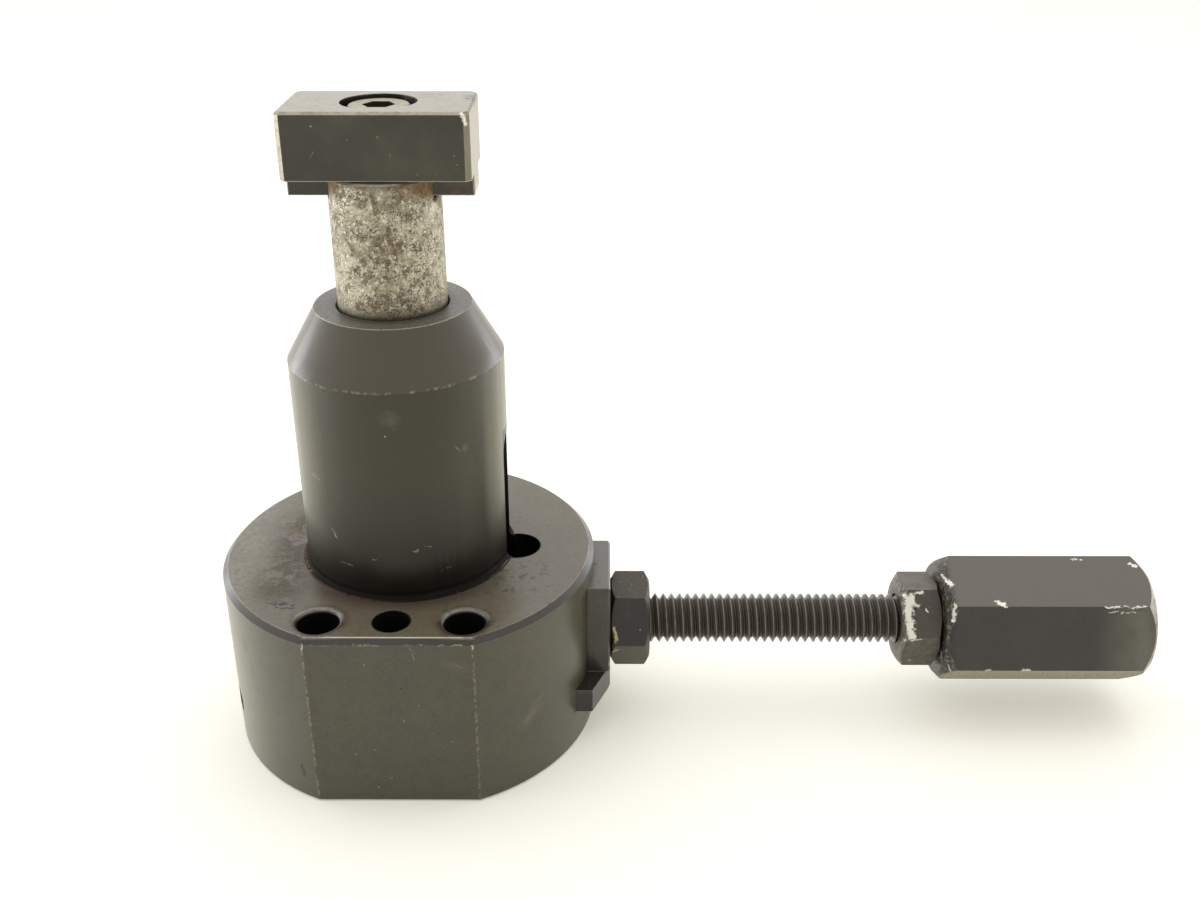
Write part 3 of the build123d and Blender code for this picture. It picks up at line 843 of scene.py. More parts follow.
    def marks(self) -> list[Mark]:
        """Single marks on the body, where the real one has them.

        Returns:
            The marks.
        """
        ochre, scratch, fleck, dot = Wear.OCHRE, Wear.SCRATCH, Wear.FLECK, Wear.DOT
        smudge, stain, bare = Wear.SMUDGE, Wear.STAIN, Wear.BARE
        specks = [(fleck, 0.13, 1.89, 18.0), (fleck, 0.1, -4.17, 29.9), (fleck, 0.11, 4.71, 21.3),
                  (fleck, 0.11, 10.06, 13.4), (fleck, 0.1, -3.67, 11.6), (fleck, 0.11, -7.12, 10.7),
                  (fleck, 0.1, -1.1, 5.3), (fleck, 0.13, -3.59, 3.2), (dot, 0.15, 1.9, 24.9),
                  (dot, 0.12, -8.4, 16.9)]
        on_flat = [Mark(wear, reach, (x, -self.flat, z)) for wear, reach, x, z in specks]
        return [
            *on_flat,
            Mark(ochre, 0.5, (-24.2, 5.3, 34.9), (-23.0, 4.4, 34.9), ragged=1.6, amount=0.8),
            Mark(ochre, 0.35, (-18.1, -9.6, 34.9), (-17.3, -9.4, 34.9), ragged=1.6),
            Mark(ochre, 0.5, (27.2, 8.3, 34.9), ragged=1.4, amount=0.6),
            Mark(Wear.RED, 0.14, (10.6, -16.6, 34.9)),
            Mark(fleck, 0.12, (8.1, -17.3, 34.9)),
            Mark(stain, 0.4, (21.5, -11.4, 34.9), (22.3, -10.6, 34.9)),
            Mark(scratch, 0.09, (-14.3, -12.6, 56.7), (-12.6, -14.3, 56.3), amount=0.8),
            Mark(scratch, 0.07, (-14.0, -12.9, 57.2), (-12.9, -14.0, 57.0), amount=0.6),
            Mark(smudge, 0.8, (1.3, -19.0, 70.2), ragged=1.4, amount=0.3),
            Mark(fleck, 0.15, (0.2, -19.05, 67.1)),
            Mark(scratch, 0.07, (11.7, -15.1, 63.4), (12.2, -14.6, 62.1), amount=0.55),
            Mark(smudge, 0.4, (12.9, -14.0, 62.6), amount=0.35),
            Mark(scratch, 0.09, (-11.0, -15.5, 47.4), (-10.2, -16.1, 45.9), amount=0.75),
            Mark(scratch, 0.1, (3.6, -18.7, 44.6), (4.6, -18.5, 45.0), amount=0.8),
            Mark(scratch, 0.08, (5.4, -18.3, 45.5), (6.6, -17.9, 45.1), amount=0.7),
            Mark(scratch, 0.08, (-9.9, -16.3, 41.3), (-7.6, -17.5, 40.9), amount=0.6),
            Mark(scratch, 0.08, (-3.9, -18.6, 43.1), (-2.9, -18.8, 43.0), amount=0.6),
            Mark(scratch, 0.07, (8.2, -17.2, 40.1), (9.6, -16.5, 40.2), amount=0.55),
            Mark(fleck, 0.15, (6.9, -15.1, 80.8)),
            Mark(fleck, 0.12, (9.1, -16.2, 76.0)),
            Mark(scratch, 0.08, (3.92, -self.flat, 33.4), (4.3, -self.flat, 32.3), amount=0.7),
            Mark(scratch, 0.07, (4.3, -self.flat, 32.3), (4.45, -self.flat, 31.0), amount=0.6),
            Mark(scratch, 0.07, (10.9, -self.flat, 29.9), (12.6, -self.flat, 29.3), amount=0.5),
            Mark(smudge, 0.5, (9.9, -self.flat, 30.1), (13.0, -self.flat, 29.2), amount=0.22),
            Mark(bare, 0.12, (-14.4, -31.8, 34.2), (-13.7, -31.7, 34.6), ragged=1.4, amount=0.8),
            Mark(bare, 0.1, (-14.4, -31.8, 34.1), (-14.5, -31.8, 32.9), ragged=1.4, amount=0.7),
            Mark(bare, 0.1, (14.3, -31.8, 34.2), (14.6, -31.7, 33.2), ragged=1.4, amount=0.8),
            Mark(bare, 0.1, (14.4, -31.8, 34.2), (15.4, -31.4, 34.5), ragged=1.4, amount=0.7),
            Mark(stain, 0.3, (-17.3, -30.3, 6.8), (-17.0, -30.5, 4.9)),
            Mark(Wear.AMBER, 0.2, (-17.2, -30.4, 6.4), (-17.1, -30.4, 5.2)),
            Mark(Wear.DENT, 0.5, (22.9, -26.4, 13.9), (24.1, -25.3, 14.9), ragged=1.2, amount=0.7),
            Mark(smudge, 0.7, (22.5, -26.7, 13.4), (24.8, -24.6, 15.6), ragged=1.2, amount=0.25),
            Mark(smudge, 0.3, (24.2, -25.2, 16.2), (25.6, -23.8, 17.6), amount=0.25),
            Mark(stain, 0.4, (-27.4, -21.6, 28.0), (-27.1, -22.0, 26.4), ragged=1.4, amount=0.4),
            Mark(stain, 0.3, (-26.3, -23.0, 22.9), (-26.1, -23.2, 21.3), ragged=1.4, amount=0.35),
            Mark(stain, 0.4, (-25.5, -23.9, 18.8), ragged=1.4, amount=0.35),
            Mark(dot, 0.16, (-21.2, -27.7, 16.6)),
            Mark(dot, 0.3, (31.2, -15.6, 7.6)),
        ]

    def coat(self) -> Coat:
        """Blackened body with its grime, rust specks and rubbed edges, and painted light and shade.

        Returns:
            The coat.
        """
        coat = BlackOxide("worn_black_oxide_steel", worn=0.55).coat()
        self.top_face(coat)
        self.neck_shade(coat)
        self.grime(coat)
        self.worn_edges(coat)
        # Paints the shadow beside the side plate
        self.rust(coat)
        coat.lay_marks(self.marks())
        self.holes(coat)
        return coat

    def build(self) -> None:
        """Builds and dresses the body and its bottom plug."""
        body = Eased("body", "base", "black_oxide_body").build()
        dress(body, self.coat())
        plug = Eased("bottom_plug", "base", "black_oxide_body", 0.1).build()
        dress(plug, BlackOxide("black_oxide_plug").coat())


@dataclass
class LiftSpring:
    """The lift spring, wound from round wire, with its ends ground flat.

    Attributes:
        wire_radius: Radius of the wire.
        turns: Number of turns.
        steps: Faces along each turn.
        wire_sides: Faces round the wire.
        stroke: How far the plunger goes down, in mm; not used.
    """

    wire_radius: float = 0.5
    turns: int = 7
    steps: int = 32
    wire_sides: int = 12
    stroke: float = 9.5

    def coat(self) -> Coat:
        """Drawn music wire: smooth grey steel with a thin brown film of old oil.

        Returns:
            The coat.
        """
        coat = Coat("drawn_music_wire", Base("#77756e", 0.35, 0.9))
        coat.lay([coat.cloud(1.2, 0.45, 0.7, seed=30.0)], "#5b5141", 0.55, 0.4, amount=0.6)
        return coat

    def build(self) -> None:
        """Winds the wire between the plug and the end of the plunger's hole, and grinds its ends."""
        low, high = (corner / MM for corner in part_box("lift_spring"))
        radius = (high.x - low.x) / 2 - self.wire_radius
        start, end = low.z - self.wire_radius / 2, high.z + self.wire_radius / 2
        rise = (end - start) / (self.turns * self.steps)
        mesh = bmesh.new()
        across = Matrix.Translation((radius, 0, start)) @ Matrix.Rotation(math.pi / 2, 4, "X")
        bmesh.ops.create_circle(mesh, radius=self.wire_radius, segments=self.wire_sides, matrix=across)
        bmesh.ops.spin(mesh, geom=[*mesh.verts, *mesh.edges], cent=(0, 0, 0), axis=UP, dvec=(0, 0, rise),
                       angle=2 * math.pi * self.turns, steps=self.turns * self.steps, use_merge=False,
                       use_duplicate=False)
        bmesh.ops.remove_doubles(mesh, verts=mesh.verts, dist=MERGE_MM)
        for z, side in ((low.z, -1), (high.z, 1)):
            bmesh.ops.bisect_plane(mesh, geom=[*mesh.verts, *mesh.edges, *mesh.faces], dist=CUT_MM,
                                   plane_co=(0, 0, z), plane_no=(0, 0, side), clear_outer=True)
        bmesh.ops.holes_fill(mesh, edges=[e for e in mesh.edges if e.is_boundary])
        bmesh.ops.recalc_face_normals(mesh, faces=mesh.faces)
        bmesh.ops.scale(mesh, verts=mesh.verts, vec=(MM, MM, MM))
        for face in mesh.faces:
            face.smooth = len(face.verts) <= 4
        piece = new_piece("spring_of_round_wire", mesh, "base", "lift_spring")
        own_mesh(piece)
        dress(piece, self.coat())


@dataclass
class PlungerGroup:
    """The plunger with its rest block, cap screw and guide pin.

    Attributes:
        radius: Radius of the plunger.
        mouth: Height at which the plunger leaves the neck.
        top: Height of the plunger's top.
        block_top: Height of the rest block's top.
        counterbore: Radius of the recess round the cap screw.
    """

    radius: float = 9.525
    mouth: float = 84.125
    top: float = 107.5
    block_top: float = 118.6
    counterbore: float = 6.35

    def plunger_coat(self) -> Coat:
        """Ground steel eaten by rust: cream grey with brown blotches and dense dark pits.

        Its finest pits are under a tenth of a mm wide, too fine to show, so they are drawn at 0.3 to 0.4 mm.

        Returns:
            The coat.
        """
        coat = Coat("pitted_ground_steel", Base("#bfb89f", 0.4, 0.55))
        coat.lay([coat.cloud(4.4, 0.42, 0.6, seed=31.0, detail=4.0, warp_mm=0.6)], "#8b7e66", 0.5, 0.35,
                 amount=0.8)
        coat.lay([coat.cloud(1.7, 0.51, 0.6, seed=32.0, detail=5.0)], "#6a573e", 0.6, 0.2,
                 relief_mm=-0.01, amount=0.75)
        coat.lay([coat.cloud(0.75, 0.54, 0.62, seed=34.0, detail=4.0)], "#dddacd", 0.36, 0.65, amount=0.75)
        # Painted highlight: the plunger painted lighter towards its left and right sides
        sides = coat.radial((0.0, -self.radius, 0.0), OUT, 4.5, 8.8)
        coat.lay([sides], "#b8b19a", 0.4, 0.5, amount=0.3)
        dense = coat.cloud(3.2, 0.32, 0.66, seed=35.0)
        fine = coat.cloud(0.3, 0.5, 0.58, seed=33.0, detail=4.0)
        coat.lay([fine], "#75694d", 0.6, 0.15, relief_mm=-0.015, amount=0.34)
        coat.lay([fine, dense], "#4c412c", 0.65, 0.1, relief_mm=-0.02, amount=0.6)
        coat.lay([coat.cloud(0.42, 0.58, 0.64, seed=36.0, detail=3.0), dense], "#33291a", 0.7, 0.0,
                 relief_mm=-0.04, amount=0.85)
        coat.lay([coat.grit(0.8, 0.45, seed=37.0, reach=0.32, warp_mm=0.4), dense], "#3a3020", 0.7, 0.0,
                 relief_mm=-0.05, amount=0.8)
        coat.lay([coat.cloud(0.55, 0.6, 0.66, seed=38.0, detail=3.0), coat.level(DOWN, -96.0, -86.0),
                  coat.level(OUT, -2.0, 6.0)], "#2c2417", 0.7, 0.0, relief_mm=-0.05, amount=0.9)
        coat.lay([coat.grit(0.42, 0.5, seed=36.5, reach=0.3, warp_mm=0.3), dense], "#463b26", 0.7, 0.0,
                 relief_mm=-0.03, amount=0.75)
        coat.lay([coat.level(DOWN, -self.mouth - 2.6, -self.mouth - 0.2)], "#6d5d3f", 0.6, 0.1,
                 amount=0.55)
        # Painted shade: a dark band where the plunger enters the neck
        coat.lay([coat.level(DOWN, -self.mouth - 0.9, -self.mouth)], "#241d14", 0.6, 0.0, amount=0.8)
        coat.lay([coat.level(UP, self.top - 1.6, self.top - 0.7)], "#6d5f45", 0.55, 0.2, amount=0.55)
        # Painted highlight: the up-facing top chamfer painted lighter
        edge = [coat.facing(UP, 0.3, 0.6), coat.level(UP, self.top - 0.8, self.top - 0.5)]
        coat.lay(edge, "#a39b86", 0.45, 0.4, amount=0.7)
        # Painted shadow: the plunger's top edge darkened under the rest block
        coat.lay([coat.level(UP, self.top - 0.4, self.top - 0.2)], "#1c1812", 0.7, 0.0)
        amber, dot = Wear.AMBER, Wear.DOT
        coat.lay_marks([
            Mark(amber, 1.1, (-8.9, -3.6, 106.2), (-7.2, -6.2, 105.9), amount=0.95),
            Mark(amber, 0.6, (-9.1, -2.9, 104.3), amount=0.8),
            Mark(amber, 1.3, (6.6, -6.9, 106.0), (8.9, -3.4, 105.0), amount=0.95),
            Mark(amber, 0.7, (9.0, -3.1, 103.6), (9.4, -1.7, 102.6), amount=0.8),
            Mark(amber, 0.9, (4.9, -8.2, 106.6), amount=0.6),
            Mark(Wear.RUST, 0.9, (2.4, -9.2, 103.7), ragged=1.6, amount=0.6),
            Mark(Wear.RUST, 0.9, (1.0, -9.4, 99.5), ragged=1.6, amount=0.4),
            Mark(Wear.RUST, 0.7, (-4.7, -8.3, 95.8), (-3.4, -8.9, 95.2), ragged=1.6, amount=0.6),
            Mark(Wear.RUST, 0.9, (1.4, -9.4, 91.6), ragged=1.6, amount=0.4),
            Mark(Wear.RUST, 0.8, (0.2, -9.5, 88.0), ragged=1.6, amount=0.5),
            Mark(Wear.RUST, 0.6, (5.3, -7.9, 87.2), ragged=1.6, amount=0.5),
            Mark(dot, 0.35, (8.67, -3.94, 103.4), (9.0, -3.1, 103.3)),
        ])
        return coat

    def head_coat(self) -> Coat:
        """Blackened block with its top, ends and corners ground bare, faintly stained.

        Returns:
            The coat.
        """
        coat = BlackOxide("black_oxide_block", "#353226", 0.45, dust=0.25, worn=0.0).coat()
        # Painted shade: the tongue under the block painted darker
        tongue = coat.level(DOWN, -self.top - 0.2, -self.top + 0.1)
        coat.lay([tongue], "#2f2b22", amount=0.6)
        coat.lay([tongue, coat.level(OUT, 9.0, 12.0), coat.cloud(2.5, 0.3, 0.6, seed=39.0)], "#5a4534", 0.6,
                 amount=0.7)
        bare_sides = [coat.facing(UP, 0.25, 0.5), coat.facing(OUT, 0.3, 0.6), coat.facing(IN, 0.3, 0.6)]
        for side in bare_sides:
            coat.lay([side], "#9e9681", 0.42, 0.6)
            coat.lay([side, coat.cloud(0.9, 0.45, 0.66, seed=40.0, detail=4.0)], "#7f7663", 0.5, 0.3,
                     amount=0.6)
            coat.lay([side, coat.cloud(4.0, 0.5, 0.7, seed=41.0)], "#898170", 0.5, 0.3, amount=0.5)
            coat.lay([side, coat.grit(1.0, 0.25, seed=42.0, reach=0.16)], "#51493c", 0.6, 0.0,
                     relief_mm=-0.02, amount=0.8)
        coat.lay([coat.facing(OUT, 0.3, 0.6)], "#6d664e", amount=0.85)
        line = [coat.edges(0.015, 0.07), coat.cloud(1.6, 0.25, 0.42, seed=43.0)]
        coat.lay(line, "#d6d0bb", 0.4, 0.5, amount=0.9)
        # Painted shade: the counterbore's wall round the cap screw painted near black
        hole = [coat.radial(AXIS, ROUND_Z, self.counterbore + 0.12, self.counterbore - 0.02),
                coat.level(DOWN, -self.block_top - 0.1, -self.block_top + 0.35)]
        coat.lay(hole, "#0f0d0b", 0.5, 0.0)
        dot, scratch, fleck = Wear.DOT, Wear.SCRATCH, Wear.FLECK
        coat.lay_marks([
            Mark(fleck, 0.14, (-9.5, -8.75, 116.4)),
            Mark(fleck, 0.11, (-3.9, -8.75, 114.2), amount=0.6),
            Mark(fleck, 0.12, (0.9, -8.75, 114.7), amount=0.8),
            Mark(fleck, 0.1, (6.8, -8.75, 108.7), amount=0.8),
            Mark(fleck, 0.12, (13.3, -8.75, 110.3), amount=0.6),
            Mark(fleck, 0.12, (12.9, -8.75, 111.7), amount=0.5),
            Mark(scratch, 0.07, (-10.2, -8.75, 111.2), (-9.6, -8.75, 112.3), amount=0.35),
            Mark(scratch, 0.07, (2.7, -8.75, 111.9), (2.7, -8.75, 111.1), amount=0.35),
            Mark(Wear.BARE, 0.3, (14.3, -8.7, 118.3), (15.0, -8.3, 116.6), ragged=1.2, amount=0.9),
            Mark(dot, 0.3, (13.9, 2.0, 118.6), (14.9, 1.2, 118.4), amount=0.8),
            Mark(Wear.STAIN, 0.8, (14.6, 4.0, 118.6), (15.3, 2.0, 118.0), amount=0.5),
        ])
        return coat

    def screw_coat(self) -> Coat:
        """Blackened cap screw whose top is rubbed grey.

        Returns:
            The coat.
        """
        coat = BlackOxide("black_oxide_cap_screw", "#1d1b17", 0.4).coat()
        top = [coat.facing(UP, 0.6, 0.9), coat.level(UP, 117.4, 117.8)]
        coat.lay(top, "#a39574", 0.45, 0.3)
        coat.lay([*top, coat.cloud(1.0, 0.45, 0.65, seed=44.0, detail=4.0)], "#6a604e", amount=0.6)
        return coat

    def build(self) -> None:
        """Builds and dresses the moving post and the spring below it."""
        plunger = Eased("plunger", "plunger", "ground_steel", 0.1).build()
        dress(plunger, self.plunger_coat())
        head = Eased("rest_head", "plunger", "black_oxide_head", 0.16).build()
        dress(head, self.head_coat())
        screw = Eased("head_screw", "plunger", "black_screw", 0.1).build()
        dress(screw, self.screw_coat())
        pin = Eased("guide_pin", "plunger", "ground_steel", 0.1).build()
        dress(pin, BlackOxide("stained_ground_pin", "#7d735e").coat())
        LiftSpring().build()


@dataclass
class ThreadedStud:
    """The long stud with its coarse thread: 60 degree flanks with rounded crests and roots.

    Attributes:
        pitch: Distance from crest to crest.
        crest_at: Where a crest lies on the upper side, as seen in the photograph.
        nose_radius: Radius of the plain nose that carries the pad.
        nose_length: Length of that nose.
        steps: Faces round one turn.
        depth_share: Depth of the thread, as a share of its pitch.
        seam: Distance under which points of neighbouring turns are one.
        hard_deg: Angle between two faces from which their edge looks sharp.
    """

    pitch: float = 1.5875
    crest_at: float = 0.68
    nose_radius: float = 2.6
    nose_length: float = 3.0
    steps: int = 32
    depth_share: float = 0.6134
    seam: float = 0.002
    hard_deg: float = 40.0

    def profile(self, crest: float) -> list[tuple[float, float]]:
        """One pitch of the thread, from root to root.

        Args:
            crest: Radius of its crests, in mm.

        Returns:
            Pairs of a distance along the stud and a radius, in mm.
        """
        root = crest - self.depth_share * self.pitch
        middle = self.pitch / 2
        rising = [(0.0, root), (0.09, root + 0.02), (0.19, root + 0.11),
                  (0.63, crest - 0.13), (0.7, crest - 0.03)]
        falling = [(self.pitch - x, r) for x, r in reversed(rising)]
        return [*rising, (middle, crest), *falling]

    def build(self) -> bpy.types.Object:
        """Winds the profile round the stud's axis, cuts its ends and adds the nose.

        Returns:
            The piece.
        """
        low, high = (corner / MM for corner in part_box("lock_stud"))
        crest = (high.z - low.z) / 2
        axis_z = (high.z + low.z) / 2
        shoulder = low.x + self.nose_length
        first = math.floor((shoulder - 2 * self.pitch) / self.pitch) * self.pitch + self.crest_at
        start = first - self.pitch / 2
        turns = math.ceil((high.x - start) / self.pitch) + 1
        mesh = bmesh.new()
        points = [mesh.verts.new((start + x, r, 0.0)) for x, r in self.profile(crest)]
        lines = [mesh.edges.new(pair) for pair in zip(points, points[1:])]
        bmesh.ops.spin(mesh, geom=[*points, *lines], cent=(0, 0, 0), axis=(1, 0, 0),
                       dvec=(self.pitch / self.steps, 0, 0), angle=2 * math.pi,
                       steps=self.steps, use_merge=False, use_duplicate=False)
        have = 1
        while have < turns:
            turn = bmesh.ops.duplicate(mesh, geom=[*mesh.verts, *mesh.edges, *mesh.faces])["geom"]
            bmesh.ops.translate(mesh, verts=[v for v in turn if isinstance(v, bmesh.types.BMVert)],
                                vec=(have * self.pitch, 0, 0))
            have *= 2
        bmesh.ops.remove_doubles(mesh, verts=mesh.verts, dist=self.seam)
        for x, side in ((shoulder, -1), (high.x, 1)):
            bmesh.ops.bisect_plane(mesh, geom=[*mesh.verts, *mesh.edges, *mesh.faces], dist=CUT_MM,
                                   plane_co=(x, 0, 0), plane_no=(side, 0, 0), clear_outer=True)
        rim = [e for e in mesh.edges if e.is_boundary]
        far_rim = [e for e in rim if e.verts[0].co.x > (shoulder + high.x) / 2]
        near_rim = [e for e in rim if e not in far_rim]
        bmesh.ops.edgeloop_fill(mesh, edges=far_rim)
        self.add_nose(mesh, near_rim)
        bmesh.ops.recalc_face_normals(mesh, faces=mesh.faces)
        bmesh.ops.translate(mesh, verts=mesh.verts, vec=(0, 0, axis_z))
        bmesh.ops.scale(mesh, verts=mesh.verts, vec=(MM, MM, MM))
        for face in mesh.faces:
            face.smooth = True
        piece = new_piece("stud_with_thread", mesh, "hand_screw", "lock_stud")
        piece.data.set_sharp_from_angle(angle=math.radians(self.hard_deg))
        return piece

    def add_nose(self, mesh: bmesh.types.BMesh, rim: list[bmesh.types.BMEdge]) -> None:
        """Closes the stud's inner end with its plain nose.

        Args:
            mesh: The stud, round the X axis.
            rim: The open edges of its inner end.
        """
        for move in (0.0, -self.nose_length):
            made = bmesh.ops.extrude_edge_only(mesh, edges=rim)["geom"]
            rim = [e for e in made if isinstance(e, bmesh.types.BMEdge) and e.is_boundary]
            for vert in {v for e in rim for v in e.verts}:
                out = Vector((0, vert.co.y, vert.co.z)).normalized() * self.nose_radius
                vert.co = Vector((vert.co.x + move, out.y, out.z))
        bmesh.ops.edgeloop_fill(mesh, edges=rim)

    def coat(self, crest: float, axis_z: float) -> Coat:
        """Blackened thread, rubbed light along its crests, darker in its roots, and painted shade on the
        flanks that face inwards.

        Args:
            crest: Radius of its crests, in mm.
            axis_z: Height of its axis.

        Returns:
            The coat.
        """
        coat = BlackOxide("black_oxide_thread", "#5a5147", 0.4, dust=0.3, worn=0.0).coat()
        centre = (0.0, 0.0, axis_z)
        root = crest - self.depth_share * self.pitch
        coat.lay([coat.cloud(2.6, 0.42, 0.65, seed=50.0)], "#5b4f42", 0.5, amount=0.45)
        # Darker in the thread's roots
        coat.lay([coat.radial(centre, ROUND_X, root + 0.45, root + 0.1)], "#2a231b", 0.55, amount=0.8)
        crests = coat.radial(centre, ROUND_X, crest - 0.11, crest - 0.02)
        coat.lay([crests, coat.cloud(1.1, 0.3, 0.52, seed=51.0, detail=4.0)], "#85807a", 0.38, 0.5,
                 amount=0.75)
        # Painted shade: the flanks that face inwards painted darker
        flank = coat.radial(centre, ROUND_X, crest - 0.5, crest - 0.15)
        coat.lay([flank, coat.facing(IN, 0.2, 0.6)], "#4b453c", 0.42, amount=0.6)
        coat.lay([coat.grit(1.1, 0.3, seed=52.0, reach=0.14)], "#8f8876", 0.6, 0.1, amount=0.7)
        coat.lay([coat.grit(2.3, 0.12, seed=53.0, reach=0.09)], "#c2b46f", 0.6, amount=0.9)
        return coat


@dataclass
class HandScrew:
    """The hand screw with its pad, nuts, handle and side plate.

    Attributes:
        axis_z: Height of its axis.
        crest: Radius of the thread's crests.
        handle: Where the handle starts.
        handle_end: Where the handle ends.
    """

    axis_z: float = 18.6
    crest: float = 4.7625
    handle: float = 101.6
    handle_end: float = 141.3

    def paint(self, name: str, colour: str = "#34322c", chipped: float = 0.5) -> Coat:
        """Thin black paint on steel: satin, slightly wavy, chipped to bare metal at its edges.

        Args:
            name: The material's name.
            colour: The paint's colour.
            chipped: How far its edges are bare.

        Returns:
            The coat.
        """
        coat = Coat(name, Base(colour, 0.4))
        coat.lay([coat.cloud(6.0, 0.4, 0.7, seed=60.0)], "#3d3b34", 0.46, amount=0.6)
        coat.lay([coat.cloud(0.5, 0.42, 0.75, seed=61.0, detail=4.0)], "#2c2a25", amount=0.5)
        coat.lay([coat.grit(1.5, 0.35, seed=62.0, reach=0.1)], "#8b8778", 0.6, amount=0.55)
        coat.lay([coat.grit(2.1, 0.3, seed=63.0, reach=0.1)], "#171512", amount=0.8)
        edge = [coat.edges(), coat.cloud(1.1, 0.54, 0.6, seed=64.0, detail=5.0)]
        coat.lay(edge, "#c4bda9", 0.42, 0.5, amount=chipped)
        return coat

    def handle_coat(self) -> Coat:
        """Painted handle: painted light greys its top, a painted reflection of the floor lies on its
        underside, bare round its far rim.

        Returns:
            The coat.
        """
        coat = self.paint("black_paint_on_handle", "#33312b", 0.45)
        # Painted light: the handle's top painted greyer
        coat.lay([coat.facing(UP, 0.6, 0.9)], "#6a645b", 0.48, amount=0.85)
        # Painted reflection: the underside painted pale and speckled, as the bright floor shows in it
        lower = [coat.facing((0.0, -0.55, -0.83), 0.75, 0.95)]
        coat.lay(lower, "#aea67e", 0.45, amount=0.85)
        coat.lay([*lower, coat.cloud(0.5, 0.5, 0.6, seed=65.0)], "#5f5b47", 0.6, amount=0.65)
        coat.lay([*lower, coat.grit(1.2, 0.3, seed=66.0, reach=0.2)], "#b5ae94", 0.5, amount=0.6)
        dusty = [coat.level(OUT, self.handle_end - 13.0, self.handle_end - 2.0),
                 coat.facing(FRONT, 0.5, 0.8), coat.cloud(7.0, 0.1, 0.6, seed=67.0, detail=2.0)]
        coat.lay(dusty, "#6f6c5f", 0.5)
        rim = [coat.facing(OUT, 0.3, 0.6), coat.radial((0.0, 0.0, self.axis_z), ROUND_X, 10.0, 10.7)]
        coat.lay([*rim, coat.cloud(1.6, 0.3, 0.5, seed=68.0)], "#a49d88", 0.42, 0.4, amount=0.85)
        near = [coat.facing(IN, 0.3, 0.6), coat.cloud(0.9, 0.38, 0.56, seed=69.0, detail=4.0)]
        coat.lay(near, "#8a8670", 0.5, amount=0.75)
        grease = [coat.level(IN, -self.handle - 2.4, -self.handle - 0.5),
                  coat.cloud(0.9, 0.34, 0.52, seed=70.0)]
        coat.lay(grease, "#1b1915", 0.35, relief_mm=0.08, amount=0.9)
        coat.lay([*grease, coat.grit(0.55, 0.5, seed=71.0, reach=0.32)], "#989278", 0.5, amount=0.85)
        bare, scratch, dot = Wear.BARE, Wear.SCRATCH, Wear.DOT
        coat.lay_marks([
            Mark(bare, 0.22, (101.7, -1.0, 29.3), (102.3, -3.6, 29.1), ragged=2.2),
            Mark(bare, 0.45, (102.4, -3.4, 29.1), (103.0, -4.2, 28.9), ragged=2.0),
            Mark(bare, 0.3, (102.9, -8.3, 27.0), (102.5, -9.8, 24.9), ragged=1.8),
            Mark(bare, 0.4, (102.5, -9.8, 24.6), ragged=0.8),
            Mark(bare, 0.5, (111.2, -8.5, 27.7), (111.9, -8.9, 27.5), ragged=1.9),
            Mark(bare, 0.22, (110.2, -8.1, 28.0), (110.6, -8.2, 27.9), ragged=2.0),
            Mark(bare, 0.16, (131.0, -9.3, 27.3), (138.5, -9.3, 27.2), ragged=2.0),
            Mark(bare, 0.1, (131.1, -9.6, 26.3), (136.7, -9.6, 26.3), ragged=2.6, amount=0.75),
            Mark(bare, 0.16, (127.4, 2.1, 30.8), (129.6, 1.9, 30.8), ragged=2.4),
            Mark(bare, 0.4, (138.6, 0.9, 30.6), (139.2, 0.4, 30.2), ragged=1.6),
            Mark(bare, 0.22, (101.6, -8.4, 16.3), (101.6, -9.1, 14.9), amount=0.8),
            Mark(bare, 0.2, (102.4, -10.8, 15.1), (103.0, -11.0, 13.9), amount=0.8),
            Mark(bare, 0.25, (101.7, -9.8, 17.6), amount=0.7),
            Mark(bare, 0.25, (109.2, -12.2, 14.9), (110.0, -12.2, 14.9), amount=0.7),
            Mark(bare, 0.25, (116.2, -12.2, 15.0), (117.6, -12.2, 14.9), ragged=1.0, amount=0.8),
            Mark(bare, 0.18, (123.9, -11.9, 14.4), amount=0.7),
            Mark(bare, 0.2, (132.9, -11.9, 14.3), (133.4, -11.9, 14.3), amount=0.7),
            Mark(scratch, 0.12, (128.4, -3.6, 29.5), (128.9, -5.2, 29.0), amount=0.5),
            Mark(scratch, 0.1, (114.8, -0.9, 30.0), amount=0.8),
            Mark(dot, 0.35, (109.6, -8.8, 7.6), amount=0.8),
        ])
        return coat

    def outer_nut_coat(self) -> Coat:
        """Painted jam nut with paint knocked off its front corner, and grease round the thread.

        Returns:
            The coat.
        """
        coat = self.paint("black_paint_on_outer_nut", "#4d4339", 0.5)
        # Painted light: the nut's top painted lighter
        coat.lay([coat.facing(UP, 0.6, 0.9), coat.cloud(2.0, 0.3, 0.55, seed=72.0)], "#6a6359", 0.5,
                 amount=0.7)
        ring = [coat.facing(IN, 0.25, 0.5), coat.cloud(0.9, 0.38, 0.58, seed=73.0, detail=4.0)]
        coat.lay(ring, "#8b8677", 0.45, 0.3, amount=0.8)
        # Painted reflection: the underside painted pale, as the bright floor shows in it
        lower = [coat.facing((0.0, -0.35, -0.93), 0.6, 0.9), coat.cloud(1.5, 0.3, 0.55, seed=74.0)]
        coat.lay(lower, "#98987c", 0.45, amount=0.85)
        grease = [coat.radial((0.0, 0.0, self.axis_z), ROUND_X, self.crest + 2.2, self.crest + 0.8),
                  coat.facing(IN, 0.3, 0.6), coat.cloud(0.8, 0.3, 0.5, seed=75.0, detail=4.0)]
        coat.lay(grease, "#1b1814", 0.4, relief_mm=0.1, amount=0.9)
        joint = [coat.level(OUT, self.handle - 0.8, self.handle - 0.1),
                 coat.cloud(0.8, 0.3, 0.5, seed=76.0)]
        coat.lay(joint, "#1b1915", 0.4, relief_mm=0.05, amount=0.9)
        coat.lay([*joint, coat.grit(0.55, 0.5, seed=77.0, reach=0.32)], "#989278", 0.5, amount=0.85)
        bare, stain, rust = Wear.BARE, Wear.STAIN, Wear.RUST
